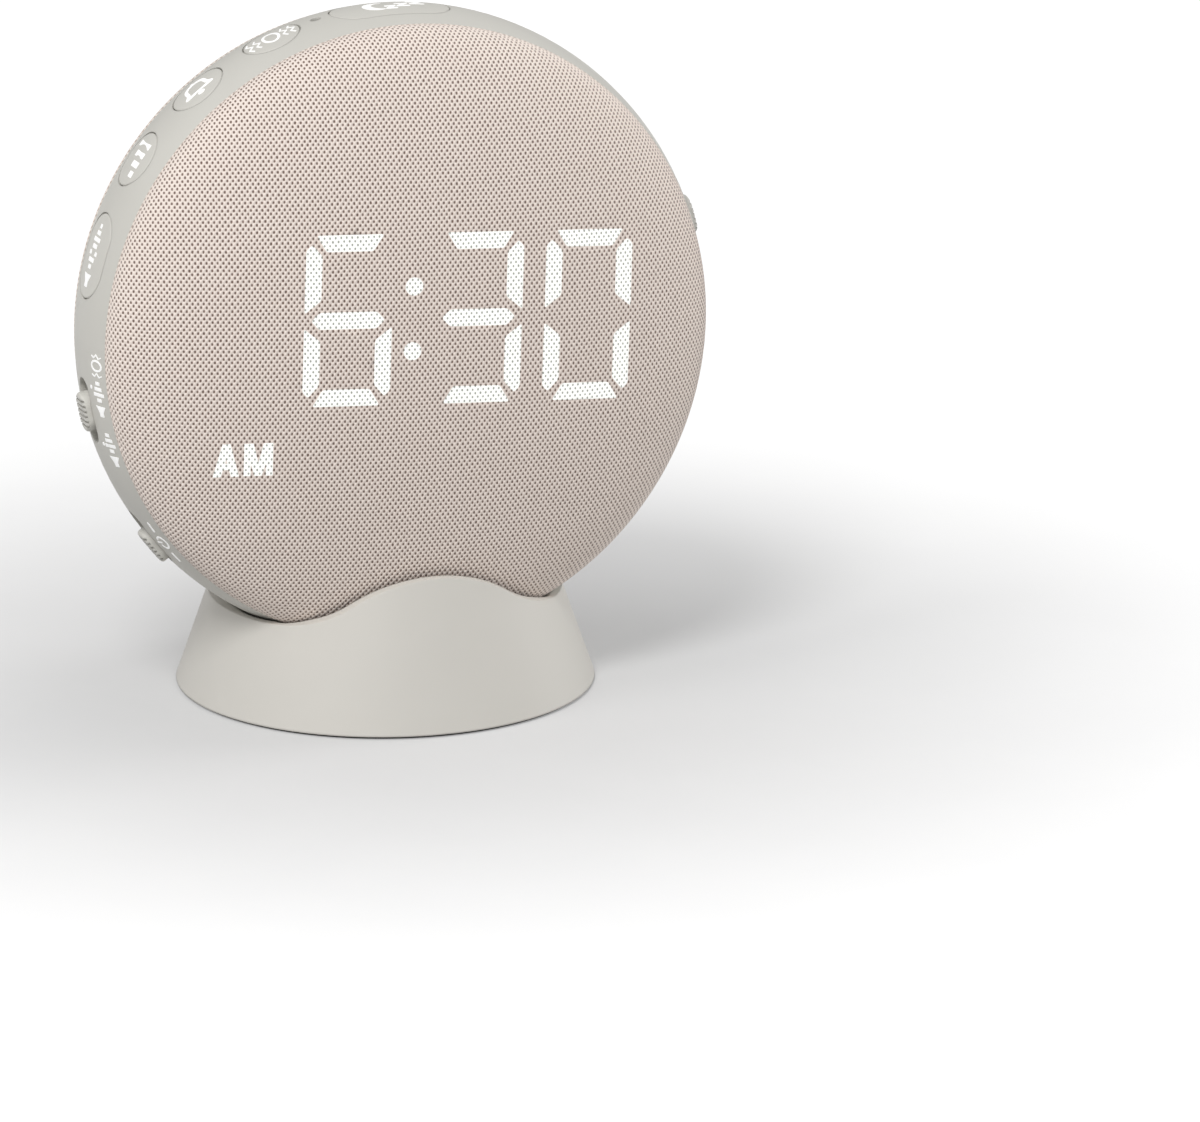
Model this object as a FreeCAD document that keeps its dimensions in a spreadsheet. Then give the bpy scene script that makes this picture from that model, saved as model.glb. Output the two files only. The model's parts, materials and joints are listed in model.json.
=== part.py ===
"""Round vibrating alarm clock that stands in a cone-shaped cradle.

Units are millimetres. The world frame has +Z up and its origin on the floor, under the
middle of the stand; the clock's display looks along -Y. The clock's own pieces are drawn in
the clock frame: X to the viewer's right, Y up, Z out of the display, origin at the middle of
the round case. Angles around the rim run anticlockwise from X, as seen by the viewer.
"""

import FreeCAD
import Part
import Sketcher
import os
import re
from FreeCAD import Placement, Rotation, Vector

SIZES = (
    # The round case
    ("disc_radius", 49.0, "outer radius at the middle of the rim"),
    ("band_width", 16.0, "width of the rim band, fabric edge to fabric edge"),
    ("band_crown", 1.5, "how far the band falls from its middle to its edges"),
    ("band_wall", 3.0, "wall of the band at its middle"),
    ("band_inner_radius", "=disc_radius - band_wall", "bore of the rim band"),
    ("dome_height", 12.2, "rise of each fabric dome over its edge"),
    ("fabric_thickness", 0.7, "fabric cover"),
    ("shell_rim_wall", 2.6, "wall of the dome shells at their rim"),
    ("shell_crown_wall", 1.6, "wall of the dome shells at their middle"),
    ("skirt_wall", 1.7, "skirt of a dome shell inside the band"),
    ("skirt_depth", 2.2, "how far the skirt reaches into the band"),
    ("skirt_root", 1.0, "how far the skirt reaches up into the dome"),
    ("fit_gap", 0.1, "gap between still pieces that slip together"),
    ("running_gap", 0.15, "gap around a button or a slide knob"),
    ("clear_gap", 0.3, "gap between pieces that move past each other"),
    ("edge_round", 0.25, "rounding of button and knob edges"),
    # Where the clock sits
    ("cradle_floor", 7.9, "height of the cradle trough under the middle of the clock"),
    ("clock_forward", 4.1, "how far the clock sits ahead of the stand's axis"),
    ("clock_roll", 2.0, "how far the clock is turned clockwise in the cradle, degrees"),
    ("clock_lean", 2.0, "how far the clock leans back in the cradle, degrees"),
    # Stand
    ("pad_thickness", 0.4, "anti-slip pad"),
    ("pad_setback", 0.8, "pad edge inside the edge of the stand"),
    ("stand_radius", 32.2, "radius of the cone at the floor"),
    ("cone_taper", 0.346, "loss of radius per millimetre of height"),
    ("stand_wall", 1.6, "wall of the cone, measured level"),
    ("wave_low", 14.8, "height of the wavy edge at the sides"),
    ("wave_rise", 7.7, "rise of the wavy edge to its front and back peaks"),
    ("wave_reach", 24.9, "distance of the wave's feet from the middle"),
    ("cradle_wall", 2.2, "thickness of the cradle trough"),
    ("back_rib_spacing", 20.0, "distance between the two ribs behind the clock"),
    ("back_rib_width", 2.0, "width of a rib"),
    ("back_rib_top", 17.5, "top of the ribs over the floor"),
    ("plate_thickness", 2.0, "base plate"),
    ("stand_boss_radius", 3.2, "screw bosses under the cradle"),
    ("stand_boss_x", 18.0, "screw bosses from the middle, across"),
    ("stand_boss_y", 9.0, "screw bosses from the middle, front to back"),
    # Rim controls
    ("button_diameter", 9.4, "round buttons, and the width of the oval ones"),
    ("snooze_length", 18.8, "long oval snooze button"),
    ("sound_length", 13.4, "short oval sound button"),
    ("button_travel", 0.5, "press of a button"),
    ("flange_step", 0.5, "how far a button's flange reaches past its opening"),
    ("flange_thickness", 1.1, "button flange behind the band"),
    ("button_stem_radius", 1.5, "stem that presses the key switch"),
    ("slot_length", 10.4, "slide switch slot in the band"),
    ("slot_width", 4.5, "slide switch slot in the band"),
    ("knob_length", 6.2, "slide knob"),
    ("knob_proud", 1.0, "how far a slide knob stands out of the band"),
    ("knob_rib_pitch", 0.8, "spacing of the grooves on a slide knob"),
    ("knob_rib_width", 0.35, "width of a groove on a slide knob"),
    ("knob_rib_depth", 0.35, "depth of a groove on a slide knob"),
    ("knob_plate_length", 13.6, "plate of a slide knob behind the band"),
    ("knob_plate_width", 6.4, "plate of a slide knob behind the band"),
    ("knob_plate_thickness", 0.8, "plate of a slide knob behind the band"),
    ("knob_plate_drop", 1.0, "flat plate of a slide knob under the round bore"),
    ("knob_post", 1.6, "square post of a slide knob"),
    ("slide_step", 1.3, "travel of a slide knob from one position to the next"),
    ("pinhole_diameter", 1.6, "reset pinhole"),
    # Chassis and boards
    ("switch_room", 7.2, "room for the switches between the chassis and the band"),
    ("chassis_radius", "=band_inner_radius - switch_room", "outside of the chassis rim"),
    ("chassis_wall", 2.0, "wall of the chassis rim and of its floor"),
    ("chassis_front", 6.2, "front edge of the chassis rim"),
    ("chassis_back", 5.0, "back edge of the chassis rim behind the middle"),
    ("strip_thickness", 0.5, "flexible switch strips"),
    ("strip_width", 8.4, "flexible switch strips"),
    ("switch_width", 6.0, "key switch, square"),
    ("switch_height", 3.4, "key switch body"),
    ("plunger_radius", 1.6, "key switch plunger"),
    ("plunger_height", 0.5, "key switch plunger"),
    ("slide_switch_length", 9.0, "slide switch body"),
    ("slide_switch_width", 4.5, "slide switch body"),
    ("post_inset", 4.2, "middle of a chassis post inside the chassis rim"),
    (
        "post_circle",
        "=chassis_radius - chassis_wall - post_inset",
        "distance of the chassis posts from the middle",
    ),
    ("post_radius", 3.0, "chassis posts of the rear shell"),
    ("board_thickness", 1.6, "main board"),
    ("main_board_width", 52.0, "main board"),
    ("main_board_tall", 40.0, "main board"),
    ("standoff_height", 1.2, "standoffs under the main board"),
    ("standoff_radius", 2.2, "standoffs under the main board"),
    ("standoff_x", 22.0, "standoffs from the middle, across"),
    ("standoff_y", 16.0, "standoffs from the middle, up and down"),
    # Display
    ("display_middle_x", -3.0, "middle of the display across"),
    ("display_middle_y", 4.9, "middle of the display up"),
    ("display_width", 72.0, "light block"),
    ("display_tall", 29.0, "light block"),
    ("display_inset", 6.4, "trimmed corners of the display inside the case"),
    ("display_round", "=disc_radius - display_inset", "radius that trims the corners of the display"),
    ("display_board_thickness", 1.2, "display board"),
    ("mark_middle_x", -28.6, "half-day mark across"),
    ("mark_middle_y", -15.7, "half-day mark up"),
    ("mark_width", 8.8, "half-day mark"),
    ("mark_tall", 5.2, "half-day mark"),
    ("mark_wall", 1.5, "light block around the half-day mark"),
    ("digit_width", 14.2, "digit"),
    ("digit_tall", 26.2, "digit"),
    ("digit_pitch", 17.6, "digit to digit"),
    ("colon_pitch", 20.8, "digit to digit across the colon"),
    ("segment_thickness", 2.6, "segment of a digit"),
    ("segment_gap", 0.5, "gap between segments"),
    ("dot_diameter", 2.6, "dot of the colon"),
    ("dot_spacing", 9.9, "dot to dot"),
    ("led_size", 1.2, "light-emitting diode"),
    ("led_height", 0.7, "light-emitting diode"),
    # Speaker
    ("speaker_x", -8.0, "middle of the speaker across"),
    ("speaker_y", 13.0, "middle of the speaker up"),
    ("speaker_radius", 16.0, "speaker frame"),
    ("speaker_rear", 12.8, "speaker face behind the middle of the case"),
    ("speaker_flange", 1.0, "flange of the speaker frame"),
    ("magnet_radius", 9.0, "speaker magnet"),
    ("magnet_height", 5.0, "speaker magnet"),
    ("cone_radius", 12.5, "speaker cone"),
    ("cone_throat", 4.5, "speaker cone at its narrow end"),
    ("cone_thickness", 0.6, "speaker cone"),
    ("cone_depth", 3.4, "speaker cone"),
    ("surround_thickness", 0.6, "soft ring between the speaker frame and the cone"),
    ("collar_wall", 1.4, "collar of the rear shell around the speaker"),
    ("grille_hole_radius", 0.9, "sound holes in the rear shell"),
    ("grille_pitch", 4.0, "sound hole to sound hole"),
    # Battery
    ("cell_width", 44.0, "battery cell"),
    ("cell_tall", 20.0, "battery cell"),
    ("cell_thickness", 9.0, "battery cell"),
    ("cell_middle_y", -17.0, "middle of the battery cell"),
    ("cell_round", 2.0, "rounding of the battery cell"),
    # Vibration motor
    ("motor_x", 21.0, "motor axis across"),
    ("motor_depth", 8.6, "motor axis behind the middle of the case"),
    ("motor_radius", 6.0, "motor can"),
    ("motor_length", 19.0, "motor can"),
    ("motor_bottom", -6.0, "lower end of the motor can"),
    ("shaft_radius", 1.0, "motor shaft"),
    ("weight_radius", 6.2, "eccentric weight"),
    ("weight_length", 5.0, "eccentric weight"),
    ("weight_gap", 1.2, "motor can to eccentric weight"),
    ("bracket_wall", 1.2, "motor bracket"),
    ("bracket_length", 8.0, "motor bracket along the motor"),
    # Charging socket
    ("socket_width", 8.9, "charging socket"),
    ("socket_height", 3.2, "charging socket"),
    ("socket_depth", 7.2, "charging socket"),
    ("socket_wall", 0.3, "charging socket shell"),
    ("socket_setback", 0.6, "mouth of the socket inside the band"),
    ("tongue_width", 6.6, "tongue of the charging socket"),
    ("tongue_thickness", 0.7, "tongue of the charging socket"),
    ("socket_board_width", 14.0, "charging board"),
    ("socket_board_thickness", 1.0, "charging board"),
    # Screws
    ("screw_head_radius", 2.1, "screw heads"),
    ("screw_head_height", 1.2, "screw heads"),
    ("screw_shank_radius", 1.1, "screw shanks"),
    ("screw_length", 6.0, "stand and chassis screws under the head"),
    ("board_screw_length", 3.2, "main board screws under the head"),
)

# Places around the rim, in degrees from X
SNOOZE, PINHOLE, VIBRATION, ALARM_SET, ALARM_VOLUME, SOUND = 91.4, 105.1, 113.8, 129.7, 145.9, 164.6
MODE, POWER = 192.8, 219.3
TIME_UP, TIME_DOWN, BRIGHTNESS, TIME_SET, SOCKET = 52.8, 37.3, 17.0, -1.0, -18.5
CHASSIS_POSTS = (78.0, 192.0, 270.0, 348.0)
SEAM = 180.0

# Chips of the main board: name, width, length, height, and place across and up
CHIPS = (
    ("Controller", "7", "7", "1.2", "-4", "2"),
    ("Amplifier", "5", "4", "1.5", "10", "8"),
    ("Charger", "3", "3", "0.9", "14", "-9"),
    ("Coil", "4", "4", "1.8", "6", "-10"),
    ("Plug", "8", "3.5", "1.8", "-14", "-14"),
)

UP = Vector(0, 0, 1)
ALONG_X = Rotation(Vector(0, 1, 0), 90)
ALONG_Y = Rotation(Vector(1, 0, 0), -90)

doc = FreeCAD.newDocument("AlarmClock")
sheet = doc.addObject("Spreadsheet::Sheet", "Sizes")
for row, (alias, amount, meaning) in enumerate(SIZES, start=1):
    sheet.set(f"A{row}", meaning)
    sheet.set(f"B{row}", str(amount))
    sheet.setAlias(f"B{row}", alias)
doc.recompute()

nodes = []


def in_sheet(rule):
    """Turn a formula of aliases into an expression that reads the sheet."""
    return re.sub(r"[a-z]+(?:_[a-z]+)+", lambda word: "Sizes." + word.group(0), rule)


def size(rule):
    """The present value of a formula of aliases."""
    return float(sheet.evalExpression(in_sheet(rule)))


def bind(piece, **rules):
    """Tie properties of a piece to the sheet."""
    for name, rule in rules.items():
        piece.setExpression(name, in_sheet(rule))


def put(piece, at, rotation=Rotation()):
    """Place a piece by three formulas, one for each axis."""
    piece.Placement = Placement(Vector(), rotation)
    for axis, rule in zip("xyz", at):
        if rule != "0":
            piece.setExpression(f"Placement.Base.{axis}", in_sheet(rule))


def turned(angle):
    """A turn about the clock's axis."""
    return Placement(Vector(), Rotation(UP, angle))


def clock_place(angle=0.0):
    """Where the clock frame is in the world, turned on by an angle about the clock's axis."""
    middle = Vector(0, -size("clock_forward"), size("cradle_floor + clear_gap + disc_radius"))
    seat = Placement(middle, Rotation(Vector(1, 0, 0), 90 - size("clock_lean")))
    return seat.multiply(turned(angle - size("clock_roll")))


def node(label, piece, place=Placement()):
    """Make a finished piece one of the parts that are written out."""
    piece.Label = label
    piece.Placement = place
    nodes.append(piece)
    return piece


def four_places(across, along):
    """The corners of a rectangle about the middle, as formulas for their two coordinates."""
    signs = ((-1, -1), (1, -1), (1, 1), (-1, 1))
    return [(f"{x} * ({across})", f"{y} * ({along})") for x, y in signs]


# ---------------------------------------------------------------- solids


def cylinder(name, radius, height, at=("0", "0", "0"), rotation=Rotation()):
    piece = doc.addObject("Part::Cylinder", name)
    bind(piece, Radius=radius, Height=height)
    put(piece, at, rotation)
    return piece


def box(name, lengths, middle):
    """A box given by its three side lengths and its middle."""
    piece = doc.addObject("Part::Box", name)
    bind(piece, Length=lengths[0], Width=lengths[1], Height=lengths[2])
    put(piece, [f"({place}) - ({length}) / 2" for place, length in zip(middle, lengths)])
    return piece


def half_ellipsoid(name, radius, height, base):
    """A dome that stands on the level given as base."""
    piece = doc.addObject("Part::Ellipsoid", name)
    piece.Angle1 = 0
    piece.Angle2 = 90
    bind(piece, Radius1=height, Radius2=radius, Radius3=radius)
    put(piece, ("0", "0", base))
    return piece


def fuse(name, *pieces):
    piece = doc.addObject("Part::MultiFuse", name)
    piece.Shapes = list(pieces)
    piece.Refine = True
    return piece


def cut(name, base, *tools):
    piece = doc.addObject("Part::Cut", name)
    piece.Base = base
    piece.Tool = tools[0] if len(tools) == 1 else fuse(name + "_tools", *tools)
    piece.Refine = True
    return piece


def common(name, first, second):
    piece = doc.addObject("Part::MultiCommon", name)
    piece.Shapes = [first, second]
    piece.Refine = True
    return piece


def group(name, pieces):
    """Separate equal solids that share one node."""
    piece = doc.addObject("Part::Compound", name)
    piece.Links = list(pieces)
    return piece


def ring(name, outer, inner, height, base):
    """A round tube about Z that stands on the level given as base."""
    outside = cylinder(name + "_outside", outer, height, ("0", "0", base))
    inside = cylinder(name + "_inside", inner, height, ("0", "0", base))
    return cut(name, outside, inside)


def rounded(name, piece, radius, wanted):
    """Round the edges that the test wanted picks."""
    doc.recompute()
    result = doc.addObject("Part::Fillet", name)
    result.Base = piece
    amount = size(radius)
    edges = enumerate(piece.Shape.Edges, start=1)
    result.Edges = [(number, amount, amount) for number, edge in edges if wanted(edge)]
    return result


# ---------------------------------------------------------------- sketches


def new_sketch(body, name, role):
    """A sketch on one of the body's own origin planes."""
    sketch = body.newObject("Sketcher::SketchObject", name)
    plane = next(item for item in body.Origin.OriginFeatures if item.Role == role)
    sketch.AttachmentSupport = (plane, [""])
    sketch.MapMode = "FlatFace"
    return sketch


def draw(sketch, corners, arcs=None):
    """Draw a closed outline whose corners are pairs of formulas.

    arcs gives, for the side that starts at a corner's number, a formula for the radius and
    the side of the chord, +1 left or -1 right, that the arc bows to.
    """
    arcs = arcs or {}
    points = [Vector(size(across), size(along), 0) for across, along in corners]
    starts = []
    for number, start in enumerate(points):
        finish = points[(number + 1) % len(points)]
        if number not in arcs:
            side = sketch.addGeometry(Part.LineSegment(start, finish), False)
            starts.append((side, 1, 2))
            continue
        radius, bow = size(arcs[number][0]), arcs[number][1]
        chord = finish.sub(start)
        rise = radius - (radius**2 - (chord.Length / 2) ** 2) ** 0.5
        left = Vector(-chord.y, chord.x, 0).normalize()
        top = start.add(chord.multiply(0.5)).add(left.multiply(bow * rise))
        side = sketch.addGeometry(Part.Arc(start, top, finish), False)
        forward = sketch.getPoint(side, 1).distanceToPoint(start) < 1e-6
        starts.append((side, 1, 2) if forward else (side, 2, 1))
        place = sketch.addConstraint(Sketcher.Constraint("Radius", side, radius))
        sketch.setExpression(f"Constraints[{place}]", in_sheet(arcs[number][0]))
    for number, (side, start, finish) in enumerate(starts):
        following, following_start, _ = starts[(number + 1) % len(starts)]
        sketch.addConstraint(Sketcher.Constraint("Coincident", side, finish, following, following_start))
        for kind, rule in zip(("DistanceX", "DistanceY"), corners[number]):
            place = sketch.addConstraint(Sketcher.Constraint(kind, -1, 1, side, start, size(rule)))
            sketch.setExpression(f"Constraints[{place}]", in_sheet(rule))


def revolved(name, corners, arcs=None):
    """A body turned about Z; corners give the distance from the axis and the height."""
    body = doc.addObject("PartDesign::Body", name)
    sketch = new_sketch(body, name + "_profile", "XZ_Plane")
    draw(sketch, corners, arcs)
    turn = body.newObject("PartDesign::Revolution", name + "_turn")
    turn.Profile = sketch
    turn.ReferenceAxis = (sketch, ["V_Axis"])
    turn.Angle = 360
    return body


def rectangle(width, tall, middle=("0", "0")):
    """Corners of a rectangle about its middle, as formulas."""
    signs = ((-1, -1), (1, -1), (1, 1), (-1, 1))
    across = {sign: f"({middle[0]}) + {sign} * ({width}) / 2" for sign in (-1, 1)}
    along = {sign: f"({middle[1]}) + {sign} * ({tall}) / 2" for sign in (-1, 1)}
    return [(across[first], along[second]) for first, second in signs]


def plate(name, corners, thickness, base="0", arcs=None):
    """A body padded upwards from the level given as base."""
    body = doc.addObject("PartDesign::Body", name)
    sketch = new_sketch(body, name + "_outline", "XY_Plane")
    sketch.setExpression("AttachmentOffset.Base.z", in_sheet(base))
    draw(sketch, corners, arcs)
    pad = body.newObject("PartDesign::Pad", name + "_pad")
    pad.Profile = sketch
    bind(pad, Length=thickness)
    return body


def circle_sketch(body, name, role, radius, places):
    """Circles of one radius at places given by formulas."""
    sketch = new_sketch(body, name, role)
    for across, along in places:
        centre = Vector(size(across), size(along), 0)
        side = sketch.addGeometry(Part.Circle(centre, UP, size(radius)), False)
        rules = (("Radius", radius), ("DistanceX", across), ("DistanceY", along))
        for kind, rule in rules:
            where = (side,) if kind == "Radius" else (-1, 1, side, 3)
            place = sketch.addConstraint(Sketcher.Constraint(kind, *where, size(rule)))
            sketch.setExpression(f"Constraints[{place}]", in_sheet(rule))
    return sketch


def drilled(body, name, radius, places):
    """Round holes through a body, both ways from the XY plane."""
    pocket_sketch = circle_sketch(body, name + "_circles", "XY_Plane", radius, places)
    pocket = body.newObject("PartDesign::Pocket", name)
    pocket.Profile = pocket_sketch
    pocket.Type = "ThroughAll"
    pocket.Midplane = True
    return body


def screw(name, length, at, rotation=Rotation()):
    """A screw whose head stands on at and whose shank points the other way."""
    head = cylinder(name + "_head", "screw_head_radius", "screw_head_height")
    shank = cylinder(name + "_shank", "screw_shank_radius", length, ("0", "0", f"-({length})"))
    slot = box(
        name + "_slot",
        ("screw_head_radius * 2", "screw_head_height / 2", "screw_head_height"),
        ("0", "0", "screw_head_height"),
    )
    piece = cut(name, fuse(name + "_blank", head, shank), slot)
    piece.Placement = Placement(Vector(*[size(rule) for rule in at]), rotation)
    return piece


# ---------------------------------------------------------------- stand


def inner_cone_radius(height):
    return f"stand_radius - cone_taper * ({height}) - stand_wall"


def clock_void():
    """The room that the clock needs in the stand, in world coordinates."""
    gap = "clear_gap"
    band = crowned_ring("VoidBand", "0", gap)
    domes = []
    for side, tip in (("Front", 0), ("Back", 180)):
        edge = f"disc_radius - band_crown + {gap}"
        dome = half_ellipsoid("Void" + side, edge, "dome_height", f"band_width / 2 + {gap}")
        over = group(f"Void{side}Faced", [dome])
        over.Placement = Placement(Vector(), Rotation(Vector(1, 0, 0), tip))
        domes.append(over)
    void = fuse("ClockVoid", band, *domes)
    void.Placement = clock_place()
    return void


def wave_outline():
    """The stand's wavy edge from the side, with everything above it."""
    far = "stand_radius * 2"
    high = "wave_low + wave_rise * 3"
    middle = "wave_low + wave_rise / 2"
    corners = [
        (f"-({far})", "wave_low"),
        ("-wave_reach", "wave_low"),
        ("-wave_reach / 2", middle),
        ("wave_reach / 2", middle),
        ("wave_reach", "wave_low"),
        (far, "wave_low"),
        (far, high),
        (f"-({far})", high),
    ]
    bend = "(wave_reach ^ 2 + wave_rise ^ 2) / (4 * wave_rise)"
    return corners, {1: (bend, -1), 2: (bend, 1), 3: (bend, -1)}


def clock_drum(name, radius):
    """A round bar along the clock's axis, longer than the stand is wide."""
    bar = cylinder(name + "Bar", radius, "stand_radius * 4", ("0", "0", "-stand_radius * 2"))
    drum = group(name, [bar])
    drum.Placement = clock_place()
    return drum


def stand_shell():
    """Cone with a wavy edge, the trough that carries the clock, two back ribs and bosses."""
    top = "wave_low + wave_rise"
    bottom = "pad_thickness"
    wall = revolved(
        "ConeWall",
        [
            (inner_cone_radius(bottom), bottom),
            (f"stand_radius - cone_taper * {bottom}", bottom),
            (f"stand_radius - cone_taper * ({top})", top),
            (inner_cone_radius(top), top),
        ],
    )
    inside = revolved(
        "ConeInside",
        [
            ("0", bottom),
            (inner_cone_radius(bottom), bottom),
            (inner_cone_radius(top), top),
            ("0", top),
        ],
    )
    trough_radius = "disc_radius + clear_gap"
    outside_tube = clock_drum("TroughUnder", f"{trough_radius} + cradle_wall")
    inside_tube = clock_drum("TroughFace", trough_radius)
    trough = common("Trough", cut("TroughTube", outside_tube, inside_tube), inside)
    rib_foot = "(cradle_floor - cradle_wall / 2)"
    ribs = []
    for side in (-1, 1):
        rib = box(
            f"BackRib{side + 1}",
            ("back_rib_width", "stand_radius", f"back_rib_top - {rib_foot}"),
            (f"{side} * back_rib_spacing / 2", "stand_radius / 2", f"(back_rib_top + {rib_foot}) / 2"),
        )
        ribs.append(common(f"BackRibInside{side + 1}", rib, inside))
    bosses = []
    for number, (x, y) in enumerate(four_places("stand_boss_x", "stand_boss_y")):
        at = (x, y, "pad_thickness + plate_thickness")
        post = cylinder(f"StandBoss{number}", "stand_boss_radius", "cradle_floor", at)
        pilot = cylinder(f"StandPilot{number}", "screw_shank_radius", "screw_length - plate_thickness", at)
        bosses.append(cut(f"StandBossDrilled{number}", post, pilot, inside_tube))
    corners, arcs = wave_outline()
    above = doc.addObject("PartDesign::Body", "AboveWave")
    sketch = new_sketch(above, "WaveEdge", "XZ_Plane")
    draw(sketch, corners, arcs)
    pad = above.newObject("PartDesign::Pad", "AboveWavePad")
    pad.Profile = sketch
    pad.Midplane = True
    bind(pad, Length="stand_radius * 3")
    blank = fuse("StandBlank", wall, trough, *ribs, *bosses)
    node("stand_shell", cut("StandShell", blank, above, clock_void()))


def stand_base():
    """Plate that closes the cone from below, the pad under it and the screws between them."""
    places = four_places("stand_boss_x", "stand_boss_y")
    top = "pad_thickness + plate_thickness"
    radius = f"{inner_cone_radius(top)} - fit_gap"
    base_plate = revolved(
        "BasePlate",
        [("0", "pad_thickness"), (radius, "pad_thickness"), (radius, top), ("0", top)],
    )
    drilled(base_plate, "BasePlateHoles", "screw_shank_radius + fit_gap", places)
    sunk_radius = "screw_head_radius + fit_gap"
    sunk = [
        cylinder(f"HeadSeat{number}", sunk_radius, "screw_head_height", (x, y, "pad_thickness"))
        for number, (x, y) in enumerate(places)
    ]
    node("stand_base_plate", cut("BasePlateSunk", base_plate, *sunk))
    edge = "stand_radius - pad_setback"
    pad = revolved("Pad", [("0", "0"), (edge, "0"), (edge, "pad_thickness"), ("0", "pad_thickness")])
    node("anti_slip_pad", pad)
    upside_down = Rotation(Vector(1, 0, 0), 180)
    seat = "pad_thickness + screw_head_height"
    screws = [
        screw(f"StandScrew{number}", "screw_length - plate_thickness", (x, y, seat), upside_down)
        for number, (x, y) in enumerate(places)
    ]
    node("stand_screws", group("StandScrews", screws))


# ---------------------------------------------------------------- rim band and its controls


def crowned_ring(name, inner, grown="0"):
    """The rim band before anything is cut into it, down to the given inner radius.

    grown makes it wider on both sides and larger in radius.
    """
    half = f"(band_width / 2 + {grown})"
    edge = f"disc_radius - band_crown + {grown}"
    bend = f"({half} ^ 2 + band_crown ^ 2) / (2 * band_crown)"
    corners = [(inner, f"-{half}"), (edge, f"-{half}"), (edge, half), (inner, half)]
    body = revolved(name, corners, {1: (bend, -1)})
    body.Placement = turned(SEAM)
    return body


def radial_bar(name, length, width, angle=0.0):
    """A bar outwards through the band, round or with two round ends seen from outside."""
    start = "(chassis_radius - chassis_wall)"
    reach = f"(disc_radius + band_crown * 2 - {start})"
    if length == width:
        bar = group(name, [cylinder(name + "_round", f"({width}) / 2", reach, (start, "0", "0"), ALONG_X)])
        bar.Placement = turned(angle)
        return bar
    straight = f"(({length}) - ({width}))"
    parts = [box(name + "_middle", (reach, straight, width), (f"{start} + {reach} / 2", "0", "0"))]
    for side in (-1, 1):
        at = (start, f"{side} * {straight} / 2", "0")
        parts.append(cylinder(f"{name}_end{side + 1}", f"({width}) / 2", reach, at, ALONG_X))
    bar = fuse(name, *parts)
    bar.Placement = turned(angle)
    return bar


def is_outer_edge(edge):
    """Whether an edge lies on the outer face of the band at the angle zero."""
    middle = edge.valueAt((edge.FirstParameter + edge.LastParameter) / 2)
    return middle.x > size("disc_radius - band_crown")


def rim_button(label, angle, length):
    """A button flush with the band, its flange behind the band and its stem."""
    width = "button_diameter"
    gap = "running_gap"
    name = label.title().replace("_", "")
    cap = common(
        name + "Cap",
        crowned_ring(name + "Ring", "band_inner_radius - flange_thickness"),
        radial_bar(name + "Bar", f"{length} - 2 * {gap}", f"{width} - 2 * {gap}"),
    )
    flange_ring = ring(
        name + "FlangeRing",
        f"band_inner_radius - {gap}",
        f"band_inner_radius - {gap} - flange_thickness",
        "button_diameter * 2",
        "-button_diameter",
    )
    flange_bar = radial_bar(name + "FlangeBar", f"{length} + 2 * flange_step", f"{width} + 2 * flange_step")
    stem_start = "chassis_radius + strip_thickness + switch_height + plunger_height + button_travel + fit_gap"
    stem = cylinder(
        name + "Stem",
        "button_stem_radius",
        f"band_inner_radius - flange_thickness / 2 - ({stem_start})",
        (stem_start, "0", "0"),
        ALONG_X,
    )
    soft_cap = rounded(name + "Soft", cap, "edge_round", is_outer_edge)
    flange = common(name + "Flange", flange_ring, flange_bar)
    node(label, fuse(name, soft_cap, flange, stem), clock_place(angle))


def slide_knob(label, angle, start):
    """A ribbed knob in its slot, its plate behind the band and its post into the switch.

    start is the knob's place at rest, in steps along the rim from the slot's middle.
    """
    name = label.title().replace("_", "")
    top = "disc_radius + knob_proud"
    foot = "band_inner_radius - knob_plate_drop - knob_plate_thickness"
    bar = radial_bar(name + "Bar", "knob_length", "slot_width - 2 * running_gap")
    span = cylinder(name + "Span", "disc_radius", f"{top} - ({foot})", (foot, "0", "0"), ALONG_X)
    soft = rounded(name + "Soft", common(name + "Block", bar, span), "edge_round * 2", is_outer_edge)
    grooves = []
    for number, step in enumerate((-2.5, -1.5, -0.5, 0.5, 1.5, 2.5)):
        lengths = ("knob_rib_depth * 2", "knob_rib_width", "slot_width * 2")
        grooves.append(box(f"{name}Groove{number}", lengths, (top, f"{step} * knob_rib_pitch", "0")))
    plate_middle = f"{foot} + knob_plate_thickness / 2"
    cover = box(
        name + "Plate",
        ("knob_plate_thickness", "knob_plate_length", "knob_plate_width"),
        (plate_middle, "0", "0"),
    )
    post_foot = "chassis_radius + strip_thickness + switch_height - knob_post / 2"
    post = box(
        name + "Post",
        (f"{foot} - ({post_foot})", "knob_post", "knob_post"),
        (f"(({foot}) + ({post_foot})) / 2", "0", "0"),
    )
    piece = fuse(name, cut(name + "Ribbed", soft, *grooves), cover, post)
    rest = Placement(Vector(0, start * size("slide_step"), 0), Rotation())
    node(label, piece, clock_place(angle).multiply(rest))


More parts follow.
